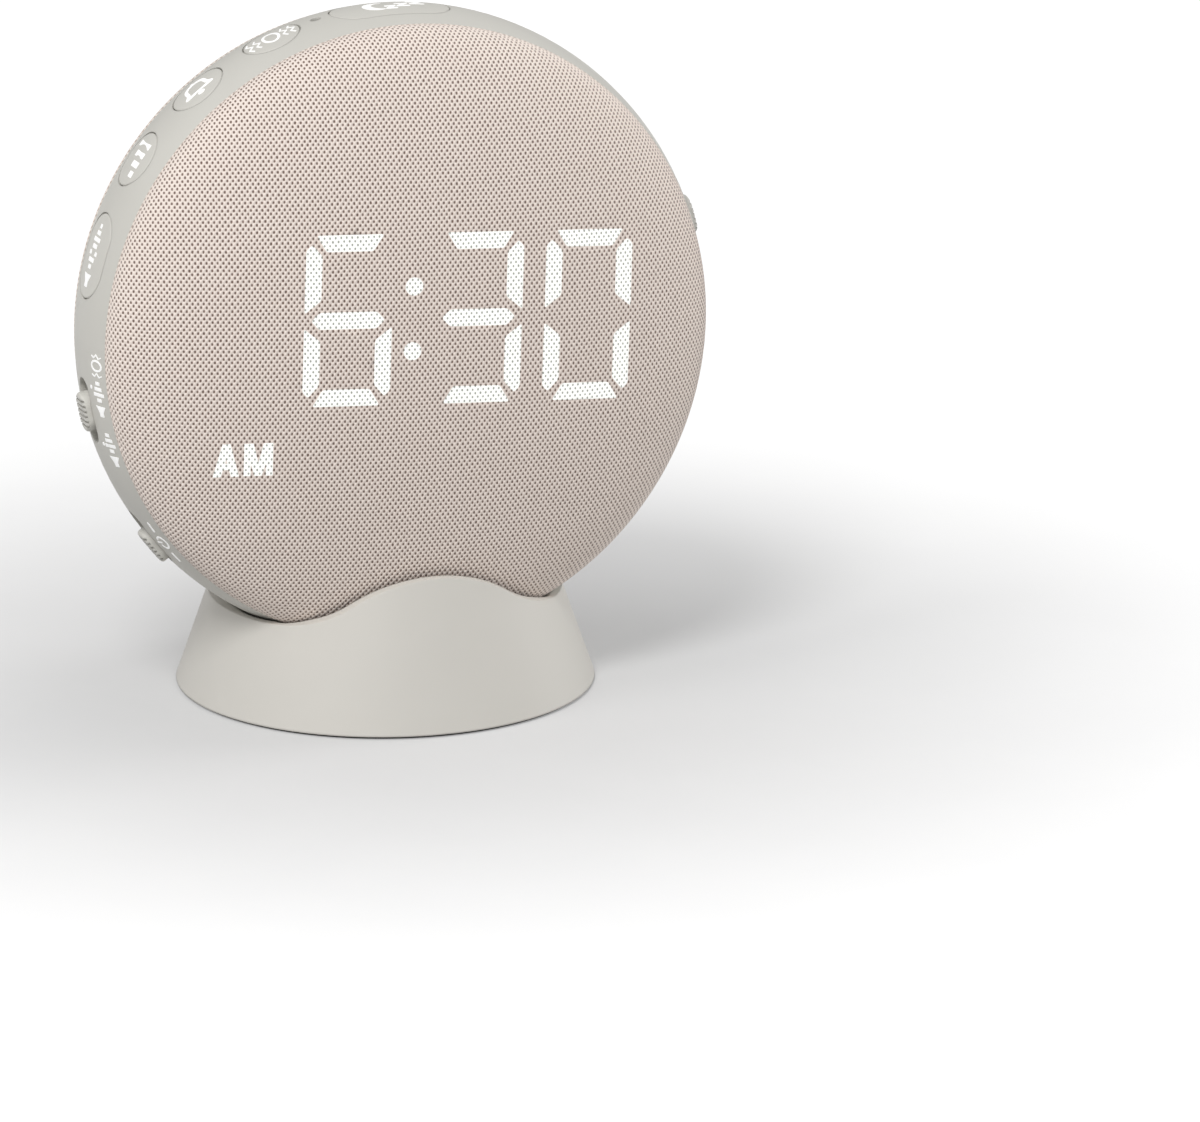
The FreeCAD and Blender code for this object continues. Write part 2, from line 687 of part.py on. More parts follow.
def rim_band():
    """The crowned band with its button openings, slots, pinhole and socket opening."""
    wide = "button_diameter"
    openings = [radial_bar("SnoozeOpening", "snooze_length", wide, SNOOZE)]
    openings.append(radial_bar("SoundOpening", "sound_length", wide, SOUND))
    for angle in (VIBRATION, ALARM_SET, ALARM_VOLUME, TIME_UP, TIME_DOWN, TIME_SET):
        openings.append(radial_bar(f"RoundOpening{len(openings)}", wide, wide, angle))
    for angle in (MODE, POWER, BRIGHTNESS):
        openings.append(radial_bar(f"Slot{len(openings)}", "slot_length", "slot_width", angle))
    at = ("chassis_radius", "0", "0")
    pinhole = group("Pinhole", [cylinder("PinholeRound", "pinhole_diameter / 2", "band_width", at, ALONG_X)])
    pinhole.Placement = turned(PINHOLE)
    openings.append(pinhole)
    mouth = ("socket_width + 2 * running_gap", "socket_height + 2 * running_gap")
    openings.append(radial_bar("SocketOpening", *mouth, SOCKET))
    band = cut("RimBand", crowned_ring("BandRing", "band_inner_radius"), group("RimOpenings", openings))
    node("rim_band", band, clock_place())


# ---------------------------------------------------------------- shells and fabric


def display_windows(name, gap):
    """Boxes around the display and around the half-day mark, widened by a gap."""
    reach = "dome_height + band_width"
    main = box(
        name + "Main",
        (f"display_width + 2 * {gap}", f"display_tall + 2 * {gap}", reach),
        ("display_middle_x", "display_middle_y", f"{reach} / 2"),
    )
    low = "mark_middle_y - mark_tall / 2 - mark_wall"
    tab = box(
        name + "Tab",
        (f"mark_width + 2 * mark_wall + 2 * {gap}", f"display_middle_y - ({low}) + {gap}", reach),
        ("mark_middle_x", f"(display_middle_y + ({low}) - {gap}) / 2", f"{reach} / 2"),
    )
    return fuse(name, main, tab)


def dome_shell(name):
    """A dome that the fabric lies on, with the skirt that slips into the band."""
    edge = "disc_radius - band_crown - fabric_thickness"
    rise = "dome_height - fabric_thickness"
    base = "band_width / 2"
    outside = half_ellipsoid(name + "Outside", edge, rise, base)
    inside = half_ellipsoid(name + "Inside", f"{edge} - shell_rim_wall", f"{rise} - shell_crown_wall", base)
    skirt = ring(
        name + "Skirt",
        "band_inner_radius - fit_gap",
        "band_inner_radius - fit_gap - skirt_wall",
        "skirt_depth + skirt_root",
        f"{base} - skirt_depth",
    )
    return fuse(name, cut(name + "Dome", outside, inside), skirt)


def fabric(name):
    """A fabric cover stretched over a dome shell."""
    edge = "disc_radius - band_crown"
    outside = half_ellipsoid(name + "Outside", edge, "dome_height", "band_width / 2")
    inside = half_ellipsoid(
        name + "Inside", f"{edge} - fabric_thickness", "dome_height - fabric_thickness", "band_width / 2"
    )
    return cut(name, outside, inside)


def faced_back(turn=0.0):
    """The clock frame turned over, for pieces of the back that are drawn like the front's."""
    over = Placement(Vector(), Rotation(Vector(0, 1, 0), 180))
    return clock_place().multiply(over).multiply(turned(turn))


def front_pieces():
    node("front_fabric", fabric("FrontFabric"), clock_place())
    shell = cut("FrontShell", dome_shell("FrontDome"), display_windows("FrontWindow", "clear_gap"))
    node("front_shell", shell, clock_place())


def rear_pieces():
    """Rear cover and shell; the shell has the speaker's collar, its sound holes and four posts.

    They are drawn facing forward and turned over, so left and right change places.
    """
    node("rear_fabric", fabric("RearFabric"), faced_back())
    room = half_ellipsoid(
        "RearRoom",
        "disc_radius - band_crown - fabric_thickness - shell_rim_wall / 2",
        "dome_height - fabric_thickness - shell_crown_wall / 2",
        "band_width / 2",
    )
    rear_x = "-speaker_x"
    collar_base = "speaker_rear - 2 * speaker_flange"
    collar_bore = "speaker_radius + fit_gap"
    at = (rear_x, "speaker_y", collar_base)
    collar_outside = cylinder("CollarOutside", f"{collar_bore} + collar_wall", "dome_height", at)
    collar_inside = cylinder("CollarInside", collar_bore, "dome_height", at)
    collar = common("Collar", cut("CollarTube", collar_outside, collar_inside), room)
    posts = []
    for number, angle in enumerate(CHASSIS_POSTS):
        post = cylinder(f"Post{number}", "post_radius", "band_width / 2 + dome_height - chassis_wall / 2")
        pilot = cylinder(f"Pilot{number}", "screw_shank_radius", "screw_length")
        for piece in (post, pilot):
            across = Vector(size("post_circle"), 0, size("chassis_wall") / 2)
            piece.Placement = turned(180 - angle).multiply(Placement(across, Rotation()))
        posts.append(cut(f"PostDrilled{number}", post, pilot))
    holes = []
    for across, along in honeycomb(3):
        at = (f"{rear_x} + {across} * grille_pitch", f"speaker_y + {along} * grille_pitch", "speaker_rear")
        holes.append(cylinder(f"SoundHole{len(holes)}", "grille_hole_radius", "dome_height", at))
    trimmed_posts = common("PostsInside", group("Posts", posts), whole_room(room))
    blank = fuse("RearBlank", dome_shell("RearDome"), collar, trimmed_posts)
    node("rear_shell", cut("RearShell", blank, *holes), faced_back())


def honeycomb(rings):
    """Points of a honeycomb with a pitch of one, out to a number of rings."""
    line_step = 3**0.5 / 2
    points = []
    for line in range(-rings, rings + 1):
        for column in range(-rings, rings + 1):
            across = column + (line % 2) / 2
            if across**2 + (line * line_step) ** 2 <= rings**2:
                points.append((across, line * line_step))
    return points


def whole_room(room):
    """The dome's room together with the case's room behind the chassis."""
    bore = "band_inner_radius - skirt_wall * 2"
    lower = cylinder("RearRoomLower", bore, "band_width / 2 + skirt_root")
    return fuse("RearRoomWhole", room, lower)


# ---------------------------------------------------------------- chassis, boards and switches


def chassis():
    """Drum that the switches, the boards, the battery and the motor are fixed to."""
    outer, inner = "chassis_radius", "chassis_radius - chassis_wall"
    half = "chassis_wall / 2"
    drum = revolved(
        "Drum",
        [
            ("0", f"-{half}"),
            (inner, f"-{half}"),
            (inner, "-chassis_back"),
            (outer, "-chassis_back"),
            (outer, "chassis_front"),
            (inner, "chassis_front"),
            (inner, half),
            ("0", half),
        ],
    )
    standoffs = []
    for number, (x, y) in enumerate(four_places("standoff_x", "standoff_y")):
        at = (x, y, "0")
        standoffs.append(cylinder(f"Standoff{number}", "standoff_radius", f"{half} + standoff_height", at))
    holes = []
    for number, angle in enumerate(CHASSIS_POSTS):
        hole = cylinder(f"ChassisHole{number}", "screw_shank_radius + fit_gap", "chassis_wall * 2")
        across = Vector(size("post_circle"), 0, -size("chassis_wall"))
        hole.Placement = turned(angle).multiply(Placement(across, Rotation()))
        holes.append(hole)
    depth = "chassis_wall * 2 + standoff_height"
    for number, (x, y) in enumerate(four_places("standoff_x", "standoff_y")):
        holes.append(cylinder(f"StandoffHole{number}", "screw_shank_radius", depth, (x, y, "-chassis_wall")))
    node("chassis", cut("Chassis", fuse("ChassisBlank", drum, *standoffs), *holes), clock_place())
    screws = []
    for number, angle in enumerate(CHASSIS_POSTS):
        piece = screw(f"ChassisScrew{number}", "screw_length", ("0", "0", "0"))
        across = Vector(size("post_circle"), 0, size(half))
        piece.Placement = turned(angle).multiply(Placement(across, Rotation()))
        screws.append(piece)
    node("chassis_screws", group("ChassisScrews", screws), clock_place())


def main_board():
    """Main board on its standoffs, its chips and its screws."""
    base = "chassis_wall / 2 + standoff_height"
    corners = rectangle("main_board_width", "main_board_tall")
    board = plate("MainBoard", corners, "board_thickness", base)
    places = four_places("standoff_x", "standoff_y")
    drilled(board, "MainBoardHoles", "screw_shank_radius + fit_gap", places)
    node("main_board", board, clock_place())
    top = f"{base} + board_thickness"
    pieces = [
        box(name + "Chip", (width, tall, height), (across, along, f"{top} + {height} / 2"))
        for name, width, tall, height, across, along in CHIPS
    ]
    node("board_chips", group("BoardChips", pieces), clock_place())
    screws = [
        screw(f"BoardScrew{number}", "board_screw_length", (x, y, top))
        for number, (x, y) in enumerate(places)
    ]
    node("board_screws", group("BoardScrews", screws), clock_place())


def switch_strip(label, first, last):
    """Flexible board bent around the chassis rim between two angles."""
    name = label.title().replace("_", "")
    base = ("0", "0", "-strip_width / 2")
    outside = cylinder(name + "Outside", "chassis_radius + strip_thickness", "strip_width", base)
    inside = cylinder(name + "Inside", "chassis_radius", "strip_width", base)
    outside.Angle = last - first
    node(label, cut(name, outside, inside), clock_place(first))


def key_switches():
    """One key switch behind each button."""
    base = "chassis_radius + strip_thickness"
    pieces = []
    buttons = (SNOOZE, VIBRATION, ALARM_SET, ALARM_VOLUME, SOUND, TIME_UP, TIME_DOWN, TIME_SET)
    for number, angle in enumerate(buttons):
        body = box(
            f"KeyBody{number}",
            ("switch_height", "switch_width", "switch_width"),
            (f"{base} + switch_height / 2", "0", "0"),
        )
        at = (f"{base} + switch_height", "0", "0")
        plunger = cylinder(f"KeyPlunger{number}", "plunger_radius", "plunger_height", at, ALONG_X)
        piece = fuse(f"KeySwitch{number}", body, plunger)
        piece.Placement = turned(angle)
        pieces.append(piece)
    node("key_switches", group("KeySwitches", pieces), clock_place())


def slide_switches():
    """The cans of the slide switches, open where the knob's post runs."""
    base = "chassis_radius + strip_thickness"
    pieces = []
    for number, angle in enumerate((MODE, POWER, BRIGHTNESS)):
        can = box(
            f"SlideCan{number}",
            ("switch_height", "slide_switch_length", "slide_switch_width"),
            (f"{base} + switch_height / 2", "0", "0"),
        )
        run = box(
            f"SlideRun{number}",
            (
                "knob_post + 2 * clear_gap",
                "knob_post + 2 * slide_step + 2 * clear_gap",
                "knob_post + 2 * clear_gap",
            ),
            (f"{base} + switch_height", "0", "0"),
        )
        piece = cut(f"SlideSwitch{number}", can, run)
        piece.Placement = turned(angle)
        pieces.append(piece)
    node("slide_switch_bodies", group("SlideSwitches", pieces), clock_place())


# ---------------------------------------------------------------- display


def segment_corners():
    """The seven segments of a digit about its middle, each as corner points in order."""
    half_width = size("digit_width") / 2
    half_tall = size("digit_tall") / 2
    thick = size("segment_thickness")
    gap = size("segment_gap") / 2
    inner_x = half_width - thick
    inner_y = half_tall - thick
    bevel = thick / 2

    def level(outer, inner):
        """Top or bottom segment: wide along the digit's edge and narrower inside."""
        return [
            (-half_width + bevel + gap, outer),
            (half_width - bevel - gap, outer),
            (inner_x - gap, inner),
            (-inner_x + gap, inner),
        ]

    def upright(side, way):
        """Left or right segment of the upper (way 1) or lower (way -1) half."""
        return [
            (side * half_width, way * (half_tall - bevel - gap)),
            (side * half_width, way * gap),
            (side * (half_width - bevel), way * gap),
            (side * inner_x, way * (bevel + gap)),
            (side * inner_x, way * (inner_y - gap)),
        ]

    middle = [
        (-half_width + bevel + gap, 0),
        (-inner_x + gap, bevel),
        (inner_x - gap, bevel),
        (half_width - bevel - gap, 0),
        (inner_x - gap, -bevel),
        (-inner_x + gap, -bevel),
    ]
    uprights = [upright(side, way) for side in (-1, 1) for way in (1, -1)]
    return [level(half_tall, inner_y), level(-half_tall, -inner_y), middle, *uprights]


def digit_places():
    """The middles of the four digits across the display."""
    inner = size("colon_pitch") / 2
    outer = inner + size("digit_pitch")
    return [size("display_middle_x") + step for step in (-outer, -inner, inner, outer)]


def light_guide_shape(base, height):
    """Prisms of all segments, the colon's dots and the half-day mark.

    Thirty-one small prisms are quicker to read as one loop than as thirty-one sketches.
    """
    middle_y = size("display_middle_y")
    prisms = []
    for across in digit_places():
        for corners in segment_corners():
            points = [Vector(across + x, middle_y + y, base) for x, y in corners]
            face = Part.Face(Part.makePolygon(points + points[:1]))
            prisms.append(face.extrude(Vector(0, 0, height)))
    for side in (-1, 1):
        centre = Vector(size("display_middle_x"), middle_y + side * size("dot_spacing") / 2, base)
        prisms.append(Part.makeCylinder(size("dot_diameter") / 2, height, centre, UP))
    width, tall = size("mark_width"), size("mark_tall")
    corner = Vector(size("mark_middle_x") - width / 2, size("mark_middle_y") - tall / 2, base)
    prisms.append(Part.makeBox(width, tall, height, corner))
    return Part.makeCompound(prisms)


def display():
    """Display board on the chassis rim, diodes, light block and light guides."""
    base = "chassis_front"
    trim = cylinder("DisplayTrim", "display_round", "band_width + dome_height")
    outline = common("DisplayOutline", display_windows("DisplayBlank", "0"), trim)
    slab = cylinder("BoardSlab", "disc_radius", "display_board_thickness", ("0", "0", base))
    node("display_board", common("DisplayBoard", outline, slab), clock_place())

    face = f"{base} + display_board_thickness"
    lens_dome = half_ellipsoid(
        "LensDome",
        "disc_radius - band_crown - fabric_thickness - fit_gap",
        "dome_height - fabric_thickness - fit_gap",
        "band_width / 2",
    )
    foot = cylinder("LensFoot", "disc_radius", f"band_width / 2 - ({face})", ("0", "0", face))
    lens_room = fuse("LensRoom", lens_dome, foot)
    guide_base = size(f"{face} + led_height + fit_gap")
    prisms = doc.addObject("Part::Feature", "GuidePrisms")
    prisms.Shape = light_guide_shape(guide_base, size("band_width + dome_height"))
    cells = doc.addObject("Part::Feature", "GuideCells")
    cells.Shape = light_guide_shape(size(face), size("band_width + dome_height"))
    block = common("BlockSolid", outline, lens_room)
    node("display_light_block", cut("DisplayLightBlock", block, cells), clock_place())
    node("display_segments", common("DisplaySegments", prisms, lens_dome), clock_place())

    led_face = size(face)
    leds = []
    for prism in cells.Shape.Solids:
        spot = prism.CenterOfMass
        leds.append(
            box(
                f"Led{len(leds)}",
                ("led_size", "led_size", "led_height"),
                (str(spot.x), str(spot.y), f"{led_face} + led_height / 2"),
            )
        )
    node("display_leds", group("DisplayLeds", leds), clock_place())


# ---------------------------------------------------------------- sound, power and vibration


def speaker():
    """Speaker that fires through the rear shell; drawn facing forward and turned over."""
    face = "speaker_rear"
    under = f"{face} - speaker_flange"
    magnet_top = f"{under} - cone_depth"
    frame = revolved(
        "SpeakerFrame",
        [
            ("cone_throat + speaker_flange", magnet_top),
            ("magnet_radius + speaker_flange", magnet_top),
            ("speaker_radius - speaker_flange", under),
            ("speaker_radius", under),
            ("speaker_radius", face),
            ("cone_radius + speaker_flange", face),
            ("cone_radius + speaker_flange", f"{face} - surround_thickness - fit_gap"),
            ("magnet_radius", f"{magnet_top} + speaker_flange"),
            ("cone_throat + speaker_flange", f"{magnet_top} + speaker_flange"),
        ],
    )
    magnet = revolved(
        "SpeakerMagnet",
        [
            ("0", f"{magnet_top} - magnet_height"),
            ("magnet_radius", f"{magnet_top} - magnet_height"),
            ("magnet_radius", magnet_top),
            ("0", magnet_top),
        ],
    )
    low = f"{magnet_top} + speaker_flange + cone_thickness"
    cone = revolved(
        "SpeakerCone",
        [
            ("0", low),
            ("cone_throat", low),
            ("cone_radius", f"{face} - cone_thickness"),
            ("cone_radius", face),
            ("cone_throat", f"{low} + cone_thickness"),
            ("0", f"{low} + cone_thickness"),
        ],
    )
    surround = ring(
        "SpeakerSurround",
        "cone_radius + speaker_flange - fit_gap",
        "cone_radius + clear_gap",
        "surround_thickness",
        f"{face} - surround_thickness",
    )
    shift = Placement(Vector(-size("speaker_x"), size("speaker_y"), 0), Rotation())
    node("speaker_frame", frame, faced_back().multiply(shift))
    node("speaker_magnet", magnet, faced_back().multiply(shift))
    node("speaker_cone", cone, faced_back().multiply(shift))
    node("speaker_surround", surround, faced_back().multiply(shift))


def battery():
    """Flat rechargeable cell stuck to the back of the chassis floor."""
    back = "chassis_wall / 2 + cell_thickness"
    corners = rectangle("cell_width", "cell_tall", ("0", "cell_middle_y"))
    cell = plate("BatteryCell", corners, "cell_thickness", f"-({back})")
    doc.recompute()
    pad = cell.Tip
    edges = [f"Edge{number}" for number, edge in enumerate(pad.Shape.Edges, start=1) if is_upright(edge)]
    soft = cell.newObject("PartDesign::Fillet", "BatteryCellRound")
    soft.Base = (pad, edges)
    bind(soft, Radius="cell_round")
    node("battery_cell", cell, clock_place())


def is_upright(edge):
    """Whether an edge runs along the clock's axis."""
    start, finish = (vertex.Point for vertex in edge.Vertexes)
    return abs(start.x - finish.x) + abs(start.y - finish.y) < 1e-6


def vibration_motor():
    """Motor can in its bracket, its shaft and the half-round weight that shakes the case."""
    axis = ("motor_x", "motor_bottom", "-motor_depth")
    can = cylinder("MotorCan", "motor_radius", "motor_length", axis, ALONG_Y)
    middle = "motor_bottom + motor_length / 2"
    deep = ("motor_x", middle, "-motor_depth")
    bore = cylinder("MotorBore", "shaft_radius + fit_gap / 2", "motor_length", deep, ALONG_Y)
    node("vibration_motor", cut("VibrationMotor", can, bore), clock_place())

    start = f"{middle} + fit_gap"
    reach = "motor_length / 2 + weight_gap + weight_length"
    shaft = cylinder("MotorShaft", "shaft_radius", reach, ("motor_x", start, "-motor_depth"), ALONG_Y)
    node("motor_shaft", group("ShaftGroup", [shaft]), clock_place())

    foot = "motor_bottom + motor_length + weight_gap"
    weight_start = ("motor_x", foot, "-motor_depth")
    disc = cylinder("WeightDisc", "weight_radius", "weight_length", weight_start, ALONG_Y)
    hub = cylinder("WeightHub", "shaft_radius * 2", "weight_length", weight_start, ALONG_Y)
    hole = cylinder("WeightHole", "shaft_radius", "weight_length", weight_start, ALONG_Y)
    lower = box(
        "WeightHalf",
        ("weight_radius * 2", "weight_length * 2", "weight_radius"),
        ("motor_x", f"{foot} + weight_length / 2", "-motor_depth - weight_radius / 2"),
    )
    weight = cut("EccentricWeight", fuse("WeightBlank", common("WeightHalfDisc", disc, lower), hub), hole)
    node("eccentric_weight", weight, clock_place())

    low = ("motor_x", f"({middle}) - bracket_length / 2", "-motor_depth")
    clamp_radius = "motor_radius + bracket_wall"
    outside = cylinder("BracketOutside", clamp_radius, "bracket_length", low, ALONG_Y)
    depth = "motor_depth - chassis_wall / 2"
    block = box(
        "BracketBlock",
        (f"2 * ({clamp_radius})", "bracket_length", depth),
        ("motor_x", middle, f"-motor_depth + ({depth}) / 2"),
    )
    opening = cylinder("BracketBore", "motor_radius", "motor_length", axis, ALONG_Y)
    node("motor_bracket", cut("MotorBracket", fuse("BracketBlank", outside, block), opening), clock_place())


def charging_socket():
    """Charging socket in the rim and the small board that carries it; no cable is fitted."""
    mouth = "disc_radius - band_crown / 2 - socket_setback"
    outside = radial_bar("SocketOutside", "socket_width", "socket_height")
    wall = "2 * socket_wall"
    inside = radial_bar("SocketInside", f"socket_width - {wall}", f"socket_height - {wall}")
    span = box(
        "SocketSpan",
        ("socket_depth", "disc_radius", "disc_radius"),
        (f"{mouth} - socket_depth / 2", "0", "0"),
    )
    back = box(
        "SocketBack",
        ("socket_wall * 2", "socket_width - socket_height", f"socket_height - {wall} / 2"),
        (f"{mouth} - socket_depth + socket_wall", "0", "0"),
    )
    tongue = box(
        "SocketTongue",
        ("socket_depth - socket_wall * 2", "tongue_width", "tongue_thickness"),
        (f"{mouth} - socket_depth / 2 - socket_wall", "0", "0"),
    )
    tube = common("SocketTube", cut("SocketHollow", outside, inside), span)
    node("charging_socket", fuse("ChargingSocket", tube, back, tongue), clock_place(SOCKET))
    start = "chassis_radius + fit_gap"
    reach = f"band_inner_radius - clear_gap * 3 - ({start})"
    board = box(
        "SocketBoard",
        (reach, "socket_board_width", "socket_board_thickness"),
        (f"{start} + ({reach}) / 2", "0", "-socket_height / 2 - socket_board_thickness / 2"),
    )
    node("charging_board", group("ChargingBoard", [board]), clock_place(SOCKET))


# ---------------------------------------------------------------- assembly

stand_shell()
stand_base()
rim_band()
rim_button("snooze_button", SNOOZE, "snooze_length")
rim_button("vibration_button", VIBRATION, "button_diameter")
rim_button("alarm_set_button", ALARM_SET, "button_diameter")
rim_button("alarm_volume_button", ALARM_VOLUME, "button_diameter")
rim_button("sound_button", SOUND, "sound_length")
rim_button("time_up_button", TIME_UP, "button_diameter")
rim_button("time_down_button", TIME_DOWN, "button_diameter")
rim_button("time_set_button", TIME_SET, "button_diameter")
slide_knob("mode_knob", MODE, 0)
slide_knob("power_knob", POWER, 1)
slide_knob("brightness_knob", BRIGHTNESS, 0)
front_pieces()
rear_pieces()
chassis()
main_board()
switch_strip("switch_strip_left", SNOOZE - 8, POWER + 8)
switch_strip("switch_strip_right", TIME_SET - 6, TIME_UP + 6)
key_switches()
slide_switches()
display()
speaker()
battery()
vibration_motor()
charging_socket()
doc.recompute()

faults = [item.Name for item in doc.Objects if {"Invalid", "Error"} & set(item.State)]
faults += [item.Label for item in nodes if item.Shape.isNull() or not item.Shape.isValid()]
if faults:
    raise RuntimeError("failed: " + ", ".join(faults))
os.makedirs("parts", exist_ok=True)
for item in nodes:
    item.Shape.exportStep(f"parts/{item.Label}.step")
print(len(nodes), "nodes")
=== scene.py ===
"""Looks of the vibrating alarm clock: woven covers with lit digits, printed marks and finishes.

Lengths are in millimetres until a mesh is placed. The clock frame has its origin in the middle
of the round case: X to the viewer's right, Y up, Z out of the display. Angles around the rim
run anticlockwise from X, as seen by the viewer.
"""

import json
import math

import bmesh
import bpy
from mathutils import Matrix, Vector, geometry

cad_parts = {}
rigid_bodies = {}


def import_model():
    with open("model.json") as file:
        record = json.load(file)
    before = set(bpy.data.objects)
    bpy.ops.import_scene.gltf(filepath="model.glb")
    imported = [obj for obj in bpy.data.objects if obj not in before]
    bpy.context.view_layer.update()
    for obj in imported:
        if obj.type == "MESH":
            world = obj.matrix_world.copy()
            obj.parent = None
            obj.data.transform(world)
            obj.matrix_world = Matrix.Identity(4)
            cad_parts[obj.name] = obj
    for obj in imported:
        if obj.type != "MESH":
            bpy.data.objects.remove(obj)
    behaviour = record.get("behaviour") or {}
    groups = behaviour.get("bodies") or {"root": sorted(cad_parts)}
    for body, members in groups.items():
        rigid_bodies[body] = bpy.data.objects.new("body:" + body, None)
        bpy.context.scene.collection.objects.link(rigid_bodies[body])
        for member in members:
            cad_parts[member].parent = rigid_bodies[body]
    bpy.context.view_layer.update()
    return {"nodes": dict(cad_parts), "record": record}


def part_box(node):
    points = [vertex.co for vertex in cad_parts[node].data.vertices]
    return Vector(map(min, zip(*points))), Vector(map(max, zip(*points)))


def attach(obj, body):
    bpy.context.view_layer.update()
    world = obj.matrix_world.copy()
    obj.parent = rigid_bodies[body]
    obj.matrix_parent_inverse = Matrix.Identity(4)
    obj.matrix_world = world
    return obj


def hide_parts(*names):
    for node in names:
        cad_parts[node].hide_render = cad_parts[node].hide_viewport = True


MM = 0.001

# The case, as in the CAD model
DISC_RADIUS = 49.0
BAND_WIDTH = 16.0
BAND_CROWN = 1.5
DOME_RADIUS = DISC_RADIUS - BAND_CROWN
DOME_HEIGHT = 12.2
CLOCK_ROLL = 2.0
CLOCK_LEAN = 2.0

# Places of the controls around the rim, in degrees
SNOOZE, VIBRATION, ALARM_SET, ALARM_VOLUME, SOUND = 91.4, 113.8, 129.7, 145.9, 164.6
MODE, POWER = 192.8, 219.3
TIME_UP, TIME_DOWN, BRIGHTNESS, TIME_SET = 52.8, 37.3, 17.0, -1.0

# The mesh of a cover, and the cloth's thickness
COVER_RINGS = 56
COVER_SPOKES = 240
COVER_THICKNESS = 0.35

# The weave: holes along a row, rows, and where a hole's edge lies in the lattice's wave
HOLE_PITCH, ROW_PITCH = 0.845, 0.56
HOLE_EDGE, HOLE_UNEVEN, HOLE_SOFT = -0.22, 0.7, 0.5
LIT_HOLE_SHRINK = 0.15
WEAVE_DEPTH = 0.00016
# What makes it irregular, in spots to UV_SCALE millimetres: its threads wander by WANDER and run
# thick and thin, its holes differ, and fine fibres lie drawn out along the rows
UV_SCALE = 100.0
WANDER_SCALE, WANDER = 26.0, 0.0022
SLUB_SCALE, UNEVEN_SCALE, FIBRE_SCALE = 9.0, 190.0, (500, 1400, 1)

# Moulded parts in metres: spots to a metre, the width of an edge painted lighter as a highlight, and the
# grain's height
BLOTCH_SCALE, HIGHLIGHT_PATCH_SCALE, GRAIN_SCALE = 60.0, 900.0, 5200.0
EDGE_WIDTH, GRAIN_HEIGHT = 0.0004, 0.00008

# The hem, a twisted thread in the corner between cover and band
HEM_RADIUS = 0.13
HEM_INSET, HEM_RISE = HEM_RADIUS / 3, HEM_RADIUS * 0.7
HEM_TWISTS = 330
HEM_WAVE = 0.22
HEM_STEPS, HEM_SIDES = 6, 8

# The lit display: its middle, and how its strokes slope and lean in degrees
DISPLAY_X, DISPLAY_Y = -3.25, 5.25
DISPLAY_SLOPE, DISPLAY_LEAN = -1.7, 0.8
# How far its light lands aside for each millimetre that the cloth lies further back
SLANT_X, SLANT_Y = -0.333, 0.249
DIGIT_WIDTH, DIGIT_TALL = 13.8, 26.2
DIGIT_PITCH, COLON_PITCH = 17.35, 20.5
SEGMENT_THICK = 2.6
DOT_RADIUS = 1.4
DOT_SPACING = 9.9
# Lit segments of the second, third and fourth digit: 6, 3 and 0
LIT = {1: "afgcde", 2: "abgcd", 3: "abcdef"}
HALF_DAY_X, HALF_DAY_Y = -29.55, -15.6
LETTER_SPREAD = 2.55

# White ink on the rim: its height over the band, the grid that bends it round, and its lines
INK_LIFT = 0.04
INK_STEP = 0.8
INK_LINE = 0.46
THIN_LINE, SHAKE_LINE = 0.3, 0.28
LETTER_TALL, LETTER_LINE = 2.1, 0.19
# How far the signs and dots beside the slide switches lie from the middle of the band
SIGN_ROW, DOT_ROW, POWER_ROW, POWER_DOT_ROW, SUN_ROW = 5.6, 3.6, 5.4, 3.7, 5.3
WELD = 1e-5

# Floor in metres: its size, where its painted shadow around the stand begins and ends, and where it is
# plain white
FLOOR_RADIUS, FLOOR_RINGS, FLOOR_SPOKES = 6.0, 12, 96
SHADE_START, SHADE_END, WHITE_FROM = 0.02, 0.18, 1.0
GLOW_AT_STAND, GLOW_OVER_SHADE, GLOW_BEYOND = 0.2, 0.4, 0.35

# Studio: each lamp's name, place, size and power
SKY_STRENGTH = 0.37
LAMPS = (
    ("key_light", (-0.7, -0.9, 1.4), 0.6, 15.5),
    ("side_light", (-1.3, -0.2, 1.2), 0.8, 5.5),
    ("edge_light", (1.5, 0.1, 0.55), 0.8, 9.0),
    ("fill_light", (0.3, -1.6, 0.25), 0.6, 1.2),
)

# Camera
TARGET = Vector((0, 0, 0.0455))
DISTANCE = 1.5
AZIMUTH, ELEVATION = math.radians(18.1), math.radians(15.787)
AIM_RIGHT, AIM_DOWN = math.radians(1.306), math.radians(0.995)
LENS, SENSOR = 296.0, 36.0


# ---------------------------------------------------------------- node helpers


